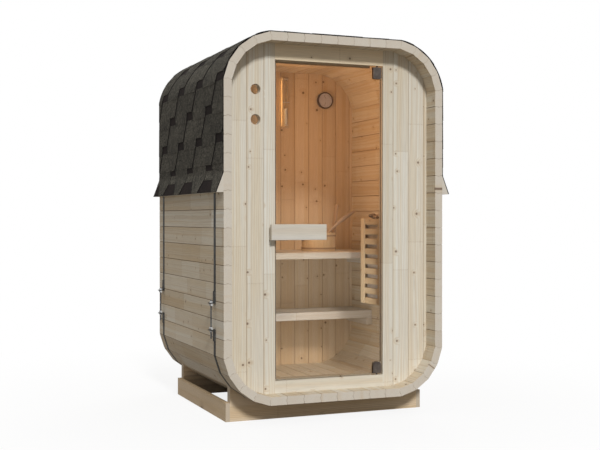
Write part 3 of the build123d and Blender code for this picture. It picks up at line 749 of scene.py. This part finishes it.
def eaveCourse(mirror):
    # The lowest teeth widen their gaps down to the eave; a patch closes each gap's upper part
    look = roof
    centres = np.arange(-2, 6) * look["pitch"] + look["firstNotch"]
    rise = np.unique(np.concatenate([np.linspace(0, look["eaveRise"][-1], 12), look["eaveRise"]]))
    toFront = np.interp(rise, look["eaveRise"], look["eaveFront"])
    toRear = np.interp(rise, look["eaveRise"], look["eaveRear"])
    made = []
    for here, after in zip(centres[:-1], centres[1:]):
        made += tooth(here + toRear, after - toFront, 0.0, rise, mirror, look["eaveHeight"])
    band = np.linspace(*look["patchRise"], 4)
    level = np.full(4, look["patch"])
    for here in centres:
        frontY, rearY = (np.clip(np.full(4, here + edge), 0, depthY) for edge in look["patchSpan"])
        if (rearY - frontY).min() > look["leastWidth"]:
            made.append(slab(frontY, rearY, band, level, level, look["under"] / 2, mirror))
    return made


def ridgeCaps():
    # Short caps over the ridge, each lapped by the one in front of it
    look, rows = roof, np.ones(9)
    s = pathAt[-1] / 2 + np.linspace(-look["capHalf"], look["capHalf"], 9)
    edges = np.linspace(0, depthY, math.ceil(depthY / look["capCover"]) + 1)
    return [slab(rows * near, rows * far, s, rows * look["capHeight"][0], rows * look["capHeight"][1],
                 look["under"] / 2) for near, far in zip(edges[:-1], edges[1:])]


firstButtAt = np.interp(roof["firstButt"], path[: len(path) // 2, 1], pathAt[: len(path) // 2])
ridgeAt = pathAt[-1] / 2
teeth = []
for mirror in (False, True):
    teeth += eaveCourse(mirror)
    base, offset = firstButtAt, 0
    while base < ridgeAt - roof["ridgeClear"]:
        teeth += course(base, min(base + roof["course"], ridgeAt), offset, mirror, base == firstButtAt)
        base, offset = base + roof["course"], 1 - offset
teeth += ridgeCaps()
tones = np.concatenate([np.full(len(t[0]), rng.random()) for t in teeth])
points, faces = joined([t[:2] for t in teeth])
addMesh("shingleTeeth", points, faces, fieldShingle, "shingles", smooth=40,
        values={"tone": tones, "lap": np.concatenate([t[3] for t in teeth])},
        second=(cutShingle, np.concatenate([t[2] for t in teeth])))
s = np.unique(np.concatenate([np.linspace(0, pathAt[-1], 160), pathAt]))
rows = np.ones(len(s))
points, faces, _, lap = slab(0 * rows, depthY * rows, s, roof["under"] * rows, roof["under"] * rows, 0.0,
                             line=innerPath)
addMesh("underSheet", points, faces, shadowShingle, "shingles", ("roof_shingles",),
        {"tone": 0 * lap + 0.5, "lap": 0 * lap}, smooth=40)
print("roof teeth", len(teeth))


# Benches: slats from wall to wall on bearers

bench = {"levels": (("upper", 5, upperBenchShadedWood), ("lower", 3, benchWood)), "width": 0.088, "gap": 0.009,
         "ease": 0.002, "bearerThick": 0.034}
for level, slatCount, wood in bench["levels"]:
    low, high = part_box(f"bench_{level}_slats")
    rows = [((0, high.y - bench["width"] / 2 - i * (bench["width"] + bench["gap"]), (low.z + high.z) / 2),
             xAxis, yAxis, (high.x - low.x, bench["width"], high.z - low.z)) for i in range(slatCount)]
    boardSet(f"{level}BenchSlats", rows, wood, bench["ease"], "bench_wood", (f"bench_{level}_slats",))
    low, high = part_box(f"bench_{level}_bearers")
    rows = [((side * (high.x - bench["bearerThick"] / 2), (low.y + high.y) / 2, (low.z + high.z) / 2),
             yAxis, zAxis, (high.y - low.y, high.z - low.z, bench["bearerThick"])) for side in (-1, 1)]
    boardSet(f"{level}BenchBearers", rows, benchWood, bench["ease"], "bench_wood", (f"bench_{level}_bearers",))
print("benches ready")


# Stove guard: two ladders of slats behind posts

guard = {"post": 0.046, "nearPost": 0.02, "postThick": 0.02, "slats": 9, "slatTall": 0.032, "slatThick": 0.016,
         "ease": 0.0015}


def guardLadder(name, guardNode, alongX, nearPost):
    look = guard
    low, high = (np.array(v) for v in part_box(guardNode))
    runAxis, faceAxis = (xAxis, yAxis) if alongX else (yAxis, xAxis)
    run, face = (low @ runAxis, high @ runAxis), (low @ faceAxis, high @ faceAxis)
    tall, middle = high[2] - low[2], (low[2] + high[2]) / 2
    postThick = look["postThick"] - look["slatThick"]

    def place(runAt, faceAt, z):
        return runAxis * runAt + faceAxis * faceAt + zAxis * z

    rows = [(place(end, face[0] + postThick / 2, middle), zAxis, runAxis, (tall, width, postThick))
            for end, width in ((run[0] + nearPost / 2, nearPost), (run[1] - look["post"] / 2, look["post"]))]
    pitch = (tall - look["slatTall"]) / (look["slats"] - 1)
    rows += [(place(sum(run) / 2, face[1] - look["slatThick"] / 2, low[2] + look["slatTall"] / 2 + i * pitch),
              runAxis, zAxis, (run[1] - run[0], look["slatTall"], look["slatThick"]))
             for i in range(look["slats"])]
    boardSet(name, rows, guardWood, look["ease"], "guard_wood", (guardNode,))


guardLadder("guardSide", "stove_guard_side", False, guard["nearPost"])
guardLadder("guardRear", "stove_guard_rear", True, guard["post"])
print("stove guard ready")


# Stove stones: balls with lumps, each squashed and turned its own way, heaped in the tray

heap = {"cells": (13, 10, 2), "radius": 0.0142, "spread": 0.24, "lump": 0.2, "rows": 5, "cols": 9,
        "edgeDrop": 0.002}


def stoneHeap(name):
    look = heap
    low, high = (np.array(v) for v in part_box("stove_stones"))
    cells = np.array(look["cells"])
    count = cells.prod()
    grid = np.indices(cells).reshape(3, -1).T
    jitter = rng.uniform(-look["spread"], look["spread"], (count, 3)) * [1, 1, 0.5]
    centre = low + (grid + 0.5 + jitter) / cells * (high - low)
    # The top layer falls away towards the front edge and the ends
    away = np.abs((centre - (low + high) / 2) / ((high - low) / 2))[:, :2].max(1)
    centre[:, 2] -= look["edgeDrop"] * away ** 2 * grid[:, 2]
    theta = np.linspace(0, math.pi, look["rows"] + 2)[1:-1]
    profile = np.concatenate([[[0, 1]], np.stack([np.sin(theta), np.cos(theta)], -1), [[0, -1]]])
    ball, faces = revolve(profile, look["cols"])
    faces = np.roll(faces, 1, 1)  # the first corner decides which way a bent quad folds
    waves = rng.uniform(-2.6, 2.6, (count, 3, 3))
    phase = rng.uniform(0, 6.3, (count, 1, 3))
    lumps = np.sin(np.einsum("vk,nkw->nvw", ball, waves) + phase).sum(-1)
    radius = look["radius"] * rng.uniform(0.85, 1.12, (count, 1)) * (1 + look["lump"] * lumps / 3 * 1.6)
    squash = rng.uniform([0.9, 0.75, 0.62], [1.15, 1.0, 0.85], (count, 3))
    body = ball[None] * radius[..., None] * squash[:, None]
    spin = rng.uniform(0, fullTurn, count)
    tilt = rng.uniform(-0.5, 0.5, count)
    cosS, sinS, cosT, sinT = np.cos(spin), np.sin(spin), np.cos(tilt), np.sin(tilt)
    turned = np.stack([cosS, sinS, 0 * spin, -sinS * cosT, cosS * cosT, sinT, sinS * sinT, -cosS * sinT, cosT], -1)
    body = np.einsum("nvk,nkj->nvj", body, turned.reshape(-1, 3, 3))
    reach = np.abs(body).max(1)
    points = body + np.clip(centre, low + reach, high - reach)[:, None]
    addMesh(name, points, manyFaces(faces, points), stoneMaterial, "stones", ("stove_stones",),
            {"tone": np.repeat(rng.random(count), len(ball))}, smooth=50)
    return count


print("stove stones", stoneHeap("stoveStones"))


# Bucket: a ring of staves with a floor, two hoops and two ears. Ladle: a turned cup on a curved handle.

bucket = {"radius": 0.0985, "height": 0.105, "wall": 0.010, "floor": 0.014, "staves": 14, "groove": 0.0011,
          "ease": 0.0015, "hoops": (0.016, 0.088), "hoopTall": 0.009, "hoopThick": 0.0014, "earWidth": 0.044,
          "earThick": 0.010, "tallRise": 0.165, "tallLean": 8.0, "shortRise": 0.038, "earRoot": 0.05,
          "fromLeft": 0.1, "hoopSink": 0.002}
bucketLow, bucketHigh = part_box("bucket")
bucketAt = np.array([bucketLow.x + bucket["fromLeft"], (bucketLow.y + bucketHigh.y) / 2,
                     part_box("bench_upper_slats")[1].z])


def notched(angle, height):
    # The radius dips in a narrow V at each seam between two staves
    share = np.abs((angle * bucket["staves"] / fullTurn + 0.5) % 1 - 0.5) * 2
    return bucket["radius"] - bucket["groove"] * np.clip(1 - share * 8, 0, 1)


def bucketBody():
    look = bucket
    outer, inner, top, ease = look["radius"], look["radius"] - look["wall"], look["height"], look["ease"]
    profile = [(0, 0), (inner, 0), (outer - ease, 0), (outer, ease), (outer, top / 3), (outer, top * 2 / 3),
               (outer, top - ease), (outer - ease, top), (inner + ease, top), (inner, top - ease),
               (inner, look["floor"]), (0, look["floor"])]
    points, faces = revolve(profile, look["staves"] * 8, notched)
    turns = np.arctan2(points[:, 1], points[:, 0]) / fullTurn * look["staves"]
    stave = np.floor(turns)
    across = (turns - stave - 0.5) * 2
    values = {"grain": np.stack([across * 0.02 + stave * 0.13, points[:, 2] + stave * 1.7, 0 * turns + 0.05], -1),
              "board": np.stack([across * 0.9, stave * 0.37 % 1, 0 * turns], -1)}
    addMesh("bucketBody", points + bucketAt, faces, bucketWood, "bucket_wood", ("bucket",), values, smooth=30)


def ear(side, rise, lean):
    # A flat board that narrows to a rounded top, standing on the rim's line
    look = bucket
    t = np.concatenate([np.linspace(0, 0.8, 6), 1 - 0.2 * (1 - np.sin(np.linspace(0.15, math.pi / 2, 8)))])
    length = look["earRoot"] + rise
    way = np.array([math.sin(math.radians(lean)), 0, math.cos(math.radians(lean))])
    root = bucketAt + [side * (look["radius"] - look["earThick"] / 2), 0, look["height"]] - way * look["earRoot"]
    full, fromTop = look["earWidth"] / 2, (1 - t) * length
    wide = np.where(fromTop < full, np.sqrt(np.clip(full ** 2 - (full - fromTop) ** 2, 1e-7, None)), full)
    return *sweep(root + t[:, None] * length * way, way, wide, 0 * t + look["earThick"] / 2, 6, 0.35), t * length


def sweptPieces(name, pieces):
    # Several swept pieces in one mesh, with the grain along each
    points, faces = joined(pieces)
    grain, board = [], []
    for number, (_, _, a, d, run) in enumerate(pieces):
        along = np.broadcast_to(run[:, None], a.shape)
        grain.append(np.stack([a + 0.03 * number, along + 2.3 * number, d + 0.06], -1).reshape(-1, 3))
        board.append(np.stack([0 * a, 0 * a + rng.random(), 0 * a], -1).reshape(-1, 3))
    addMesh(name, points, faces, ladleWood, "bucket_wood", smooth=40,
            values={"grain": np.concatenate(grain), "board": np.concatenate(board)})


def hoops():
    look = bucket
    inner, outer, h = look["radius"] - look["hoopSink"], look["radius"] + look["hoopThick"], look["hoopTall"] / 2
    ring, faces = revolve([(inner, -h), (outer, -h), (outer, h), (inner, h), (inner, -h)], 56)
    points, faces = joined([(ring + bucketAt + [0, 0, height], faces) for height in look["hoops"]])
    angle = np.arctan2(points[:, 1] - bucketAt[1], points[:, 0] - bucketAt[0])
    grain = np.stack([points[:, 2], angle * look["radius"], 0 * angle + 0.06], -1)
    addMesh("bucketHoops", points, faces, ladleWood, "bucket_wood", smooth=30,
            values={"grain": grain, "board": 0 * grain + [0, 0.6, 0]})


bucketBody()
sweptPieces("bucketEars", [ear(1, bucket["tallRise"], bucket["tallLean"]), ear(-1, bucket["shortRise"], 0.0)])
hoops()

ladle = {"cupRadius": 0.027, "cupHeight": 0.032, "cupWall": 0.004, "handleWide": 0.0074, "handleThick": 0.0084,
         "bow": 0.022, "paddle": 0.6, "paddleAt": 0.72, "paddleLong": 0.2, "inset": 0.008, "foot": 0.010}


def ladlePieces():
    # The handle's line is straight with a sine bow, and it swells to a paddle by a bell curve
    look = ladle
    low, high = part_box("ladle")
    y = (low.y + high.y) / 2
    cupAt = np.array([low.x + look["cupRadius"], y, low.z])
    r, h, w = look["cupRadius"], look["cupHeight"], look["cupWall"]
    profile = [(0, 0), (r * 0.8, 0), (r, h * 0.35), (r, h), (r - w, h), (r - w, h * 0.4), (r * 0.75, w), (0, w)]
    points, faces = placed(revolve(profile, 32), cupAt)
    grain = points[:, [0, 2, 1]] + [0, 0, 0.05]
    addMesh("ladleCup", points, faces, ladleWood, "bucket_wood", ("ladle",), smooth=40,
            values={"grain": grain, "board": 0 * grain + [0, 0.4, 0]})
    t = np.linspace(0, 1, 22)
    foot = cupAt + [0, 0, look["foot"]]
    reach = np.array([high.x - look["inset"], y, high.z - look["inset"]]) - foot
    line = foot + t[:, None] * reach + (look["bow"] * np.sin(math.pi * t))[:, None] * zAxis
    paddle = 0.85 + look["paddle"] * np.exp(-((t - look["paddleAt"]) / look["paddleLong"]) ** 2)
    close = np.sqrt(np.clip(1 - np.clip((t - 0.95) / 0.05, 0, 0.995) ** 2, 0, 1))
    handle = sweep(line, reach / np.linalg.norm(reach), look["handleWide"] * close,
                   look["handleThick"] * paddle * close, 8, 0.8)
    sweptPieces("ladleHandle", [(*handle, t * 0.33)])


ladlePieces()
print("bucket and ladle ready")


# Dial on the back wall: a dark case, a sunk face, two arcs of ticks and two needles

dial = {"case": 0.050, "rim": 0.0075, "depth": 0.024, "faceSink": 0.004, "ticks": 11, "tickLong": 0.006,
        "tickSize": (0.0009, 0.0006), "needleSize": (0.0016, 0.0008), "arcs": (90.0, 270.0), "arcSpan": 130.0,
        "tickAt": 0.033, "needle": 0.024, "needleTurns": (118.0, 252.0), "hub": 0.013}


def dialPieces():
    look = dial
    low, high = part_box("dial")
    centre = np.array([(low.x + high.x) / 2, high.y, (low.z + high.z) / 2])
    r, rim, h, sink = look["case"], look["rim"], look["depth"], look["faceSink"]
    face, edge = h - sink, r - rim
    case = [(0, 0), (r * 0.94, 0), (r, 0.004), (r, h - 0.003), (r - 0.002, h - 0.0008), (r - rim / 2, h),
            (edge + 0.001, h - 0.0008), (edge, face), (0, face - 0.0006)]
    plate = [(0, face + 0.0004), (edge + 0.0005, face + 0.0004), (edge + 0.0005, face - 0.001), (0, face - 0.001)]
    for name, profile, finish, nodes in (("dialCase", case, dialCaseFinish, ("dial",)),
                                         ("dialPlate", plate, dialPlateFinish, ())):
        addMesh(name, *placed(revolve(profile, 72), centre, -yAxis), finish, "dial_face", nodes, smooth=35)
    marks = []
    front = centre - [0, face + 0.0006, 0]
    for middle, needleTurn, side in zip(look["arcs"], look["needleTurns"], (1, -1)):
        turns = np.radians(np.linspace(-look["arcSpan"] / 2, look["arcSpan"] / 2, look["ticks"]) + middle)
        for number, a in enumerate(turns):
            out = np.array([math.cos(a), 0, math.sin(a)])
            long = look["tickLong"] * (1.5 if number % 5 == 0 else 0.8)
            marks.append((front + out * (look["tickAt"] + long / 2), out, np.cross(yAxis, out),
                          (long, *look["tickSize"])))
        a = math.radians(needleTurn)
        out = np.array([math.cos(a), 0, math.sin(a)])
        hub = front + [0, -0.001, look["hub"] * side]
        marks.append((hub + out * look["needle"] / 3, out, np.cross(yAxis, out),
                      (look["needle"], *look["needleSize"])))
    boardSet("dialMarks", marks, dialMarkFinish, 0.0001, "dial_face")


dialPieces()


# Sand timer: an eased board with two blocks and a clip, and a glass of two bulbs with sand in the lower one

timer = {"board": 0.016, "boardEase": 0.003, "ease": 0.001, "tubeRadius": 0.009, "tubeHalf": 0.132,
         "neck": 0.0022, "glassWall": 0.0008, "sink": 0.001, "block": (0.024, 0.008, 0.018), "blockGap": 0.004,
         "clip": (0.004, 0.014), "clipSink": 0.004, "sandShare": 0.36, "sandCone": 0.004}
timerLow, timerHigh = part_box("sand_timer")


def timerPieces():
    # The bulbs' radius widens from the neck by a smooth step and closes at the ends as a circle does
    look, low, high = timer, timerLow, timerHigh
    x, z = (low.x + high.x) / 2, (low.z + high.z) / 2
    width, tall, half = high.x - low.x, high.z - low.z, look["tubeHalf"]
    boardSet("timerBoard", [((x, high.y - look["board"] / 2, z), zAxis, xAxis, (tall, width, look["board"]))],
             timerWood, look["boardEase"], "bench_wood", ("sand_timer",))
    tubeY = high.y - look["board"] - look["tubeRadius"] + look["sink"]
    rows = [((x, tubeY + look["sink"], z + side * (half + look["blockGap"])), xAxis, zAxis, look["block"])
            for side in (-1, 1)]
    rows.append(((x, tubeY + look["clipSink"], z), xAxis, zAxis, (width, *look["clip"])))
    boardSet("timerBlocks", rows, benchWood, look["ease"], "bench_wood")
    t = np.linspace(-1, 1, 61)
    bulb = np.clip((np.abs(t) - 0.02) / 0.16, 0, 1)
    ends = np.sqrt(np.clip(1 - np.clip((np.abs(t) - 0.93) / 0.07, 0, 0.98) ** 2, 0, 1))
    radius = (look["neck"] + (look["tubeRadius"] - look["neck"]) * (3 * bulb ** 2 - 2 * bulb ** 3)) * ends
    glass = np.concatenate([[[0, -half]], np.stack([radius, t * half], -1), [[0, half]]])
    sand = np.stack([np.clip(radius - look["glassWall"], 0.0004, None), t * half], -1)
    sand = sand[t < -1 + 2 * look["sandShare"]]
    sand = np.concatenate([[[0, sand[0, 1]]], sand, [[0, sand[-1, 1] + look["sandCone"]]]])
    for name, profile, finish, slotName in (("timerGlass", glass, tubeGlass, "door_glass"),
                                            ("timerSand", sand, sandFinish, "bench_wood")):
        addMesh(name, *placed(revolve(profile, 24), (x, tubeY, z)), finish, slotName, smooth=40)


timerPieces()
print("dial and sand timer ready")


# Strap bolts: a rod with a running thread, and at each lug a washer and a hexagon nut.
# Door fittings: button screws on the hinge patches.

bolt = {"radius": 0.004, "thread": 0.00035, "pitch": 0.002, "nut": 0.008, "nutTall": 0.008, "washer": 0.0088,
        "washerThick": 0.0012, "overhang": 0.041, "tip": 0.006, "cols": 12, "perTurn": 5, "taper": 0.002,
        "barrel": 0.0060, "barrelHalf": 0.0150, "barrelGap": 0.004}


def hexagon(angle, height):
    apothem = bolt["nut"] * math.cos(math.pi / 6)
    return apothem / np.cos((angle + math.pi / 6) % (math.pi / 3) - math.pi / 6)


def threadedRod(length):
    # Radius rises and falls once per pitch, and the crest climbs as it goes round
    look = bolt
    z = np.linspace(0, length, int(length / look["pitch"] * look["perTurn"]))
    profile = np.concatenate([[[0, 0]], np.stack([0 * z + look["radius"], z], -1), [[0, length]]])

    def thread(angle, height):
        phase = (height / look["pitch"] - angle / fullTurn) % 1
        taper = np.clip(np.minimum(height, length - height) / look["taper"], 0.3, 1)
        return look["radius"] - look["thread"] * (np.abs(phase - 0.5) * 2) - (1 - taper) * 0.001

    return revolve(profile, look["cols"], thread)


def boltPieces(place, name):
    look = bolt
    low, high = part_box(f"strap_bolt_{place}")
    x, y = (low.x + high.x) / 2, (low.y + high.y) / 2
    n, t, w, wt = look["nut"], look["nutTall"], look["washer"], look["washerThick"]
    nutLow, nutHigh = low.z + look["overhang"] - t, high.z - look["tip"] - t
    nut = [(0, 0), (n * 0.84, 0), (n * 0.97, 0.0009), (n, 0.0016), (n, t - 0.0016), (n * 0.97, t - 0.0009),
           (n * 0.84, t), (0, t)]
    washer = [(0, 0), (w, 0), (w, wt), (0, wt)]
    bodies = [placed(revolve(nut, 36, hexagon), (x, y, z)) for z in (nutHigh, nutLow)]
    bodies += [placed(revolve(washer, 32), (x, y, z - wt * 0.5)) for z in (nutHigh, nutLow + t)]
    # Barrels that the rod passes through, inside each ear, with a dished end
    b, h, gap = look["barrel"], look["barrelHalf"], look["barrelGap"]
    shape = [(0, -h + 0.0008), (b * 0.6, -h), (b * 0.86, -h), (b, -h + 0.001), (b, h - 0.001), (b * 0.86, h),
             (b * 0.6, h), (0, h - 0.0008)]
    bodies += [placed(revolve(shape, 28), (x, y, z), yAxis) for z in (nutHigh - gap - b, nutLow + t + gap + b)]
    addMesh(name + "Nuts", *joined(bodies), boltSteel, "strap_steel", (f"strap_bolt_{place}",), smooth=35)
    addMesh(name + "Rod", *placed(threadedRod(high.z - low.z), (x, y, low.z)), rodSteel, "strap_steel", smooth=35)


boltPieces("front", "boltFront")
boltPieces("rear", "boltRear")

screws = {"radius": 0.0052, "tall": 0.0016, "socket": 0.0024, "sink": 0.0009, "places": (0.28, 0.72),
          "fromEdge": 0.36, "foot": -0.0008}
r, h, s, foot = (screws[key] for key in ("radius", "tall", "socket", "foot"))
screwHead = revolve([(0, foot), (r, foot), (r, h * 0.3), (r * 0.8, h * 0.85), (r * 0.55, h), (s, h),
                     (s, h - screws["sink"]), (0, h - screws["sink"])], 24)
heads = []
for patch in ("hinge_patch_bottom", "hinge_patch_top"):
    low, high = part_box(patch)
    x = low.x + (high.x - low.x) * screws["fromEdge"]
    for z in (low.z + (high.z - low.z) * share for share in screws["places"]):
        heads += [placed(screwHead, (x, low.y, z), -yAxis), placed(screwHead, (x, high.y, z), yAxis)]
addMesh("patchScrews", *joined(heads), hingeSteel, "hinge_steel", smooth=35, body="door")
print("bolts and screws ready")


# Camera, light and floor

view = {"place": (-2.125, -5.316, 1.009), "yaw": 22.202, "pitch": -0.378, "lens": 61.79, "sensor": 36.0}
cameraData = bpy.data.cameras.new("camera")
cameraData.lens = view["lens"]
cameraData.sensor_width = view["sensor"]
cameraData.clip_end = 200
camera = bpy.data.objects.new("camera", cameraData)
camera.location = view["place"]
camera.rotation_euler = (math.radians(90 + view["pitch"]), 0, math.radians(-view["yaw"]))
bpy.context.scene.collection.objects.link(camera)
bpy.context.scene.camera = camera
bpy.context.scene.view_settings.view_transform = "Standard"

stripPlace = (timerLow.x - 0.02, timerHigh.y - 0.012, (timerLow.z + timerHigh.z) / 2)  # by the timer's edge
light = {
    "elevation": 36.0, "fromLeft": 8.0, "strength": 2.2, "spread": 9.0,
    "sky": 0.365, "skyColour": (1.0, 0.98, 0.95, 1.0), "bounce": (0.29, 0.27, 0.25, 1.0),
    # name, place, direction, power, size, colour, spread in degrees
    "areas": (
        ("topLight", (-3.0, 0.4, 5.0), (3.0, -0.4, -3.8), 30.0, (3.0, 3.0), (1.0, 1.0, 1.0), 180),
        ("cabinLamp", (-0.1, -0.06, 1.43), (1, 0, 0), 3.35, (0.3, 0.85), (1.0, 0.575, 0.28), 180),
        ("cabinStrip", stripPlace, (1, 0, 0), 0.045, (0.012, 0.27), (1.0, 0.62, 0.26), 90),
        ("cabinFill", (-0.05, -0.45, 0.5), (0, 1, 0), 3.1, (0.5, 0.62), (0.95, 0.985, 1.0), 180),
        ("ventFill", (-0.34, -0.05, 1.68), (0, 1, 0), 0.16, (0.3, 0.4), (0.9, 1.0, 1.0), 90),
        ("rearLight", (3.4, 4.0, 3.2), (-3.4, -4.0, -2.2), 90.0, (3.0, 3.0), (1.0, 1.0, 1.0), 180),
    ),
}


def addLight(name, kind, place, direction, energy, **settings):
    data = bpy.data.lights.new(name, kind)
    data.energy = energy
    for key, value in settings.items():
        setattr(data, key, value)
    made = bpy.data.objects.new(name, data)
    made.location = place
    made.rotation_euler = Vector(direction).to_track_quat("-Z", "Y").to_euler()
    made.visible_camera = False
    bpy.context.scene.collection.objects.link(made)


rise, swing = math.radians(light["elevation"]), math.radians(light["fromLeft"])
keyWay = (math.sin(swing) * math.cos(rise), math.cos(swing) * math.cos(rise), -math.sin(rise))
addLight("keyLight", "SUN", (0, -6, 6), keyWay, light["strength"], angle=math.radians(light["spread"]))
for name, place, direction, power, size, tint, spread in light["areas"]:
    addLight(name, "AREA", place, direction, power, shape="RECTANGLE", size=size[0], size_y=size[1], color=tint,
             spread=math.radians(spread))

world = bpy.data.worlds.new("studio")
bpy.context.scene.world = world
world.use_nodes = True
startTree(world.node_tree)
soft = node("Background", {"Color": light["skyColour"], "Strength": light["sky"]})
backdrop = node("Background", {"Color": (1, 1, 1, 1), "Strength": 1.0})
shown = node("MixShader", {0: node("LightPath")["Is Camera Ray"], 1: soft, 2: backdrop})
node("OutputWorld", {"Surface": shown})


def floorMaterial():
    # Pale studio floor that grows brighter with distance, so that it meets the backdrop
    made = newMaterial("studioFloor")
    far = node("VectorMath", {0: objectPlace()}, operation="LENGTH")["Value"]
    diffuse = node("BsdfDiffuse", {"Color": (0.9, 0.9, 0.9, 1)})
    glow = node("Emission", {"Color": (1, 1, 1, 1), "Strength": 1.0})
    pale = node("MixShader", {0: between(far, 0.7, 2.8, 0.84, 1.0), 1: diffuse, 2: glow})
    bounce = node("BsdfDiffuse", {"Color": light["bounce"]})
    shown = node("MixShader", {0: node("LightPath")["Is Camera Ray"], 1: bounce, 2: pale})
    node("OutputMaterial", {"Surface": shown})
    return made


def studioFloor():
    # A flat disc round the sauna: rings of a profile turned about Z, thin but closed
    points, faces = revolve([(0, 0), (1, 0), (3, 0), (10, 0), (60, 0), (60, -0.01), (0, -0.01)], 64)
    mesh = bpy.data.meshes.new("studioFloor")
    mesh.from_pydata(points.tolist(), [], [[v for v in face if v >= 0] for face in faces.tolist()])
    mesh.materials.append(floorMaterial())
    made = bpy.data.objects.new("studioFloor", mesh)
    bpy.context.scene.collection.objects.link(made)
    made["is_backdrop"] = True


studioFloor()
print("camera, light and floor ready")

low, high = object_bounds()
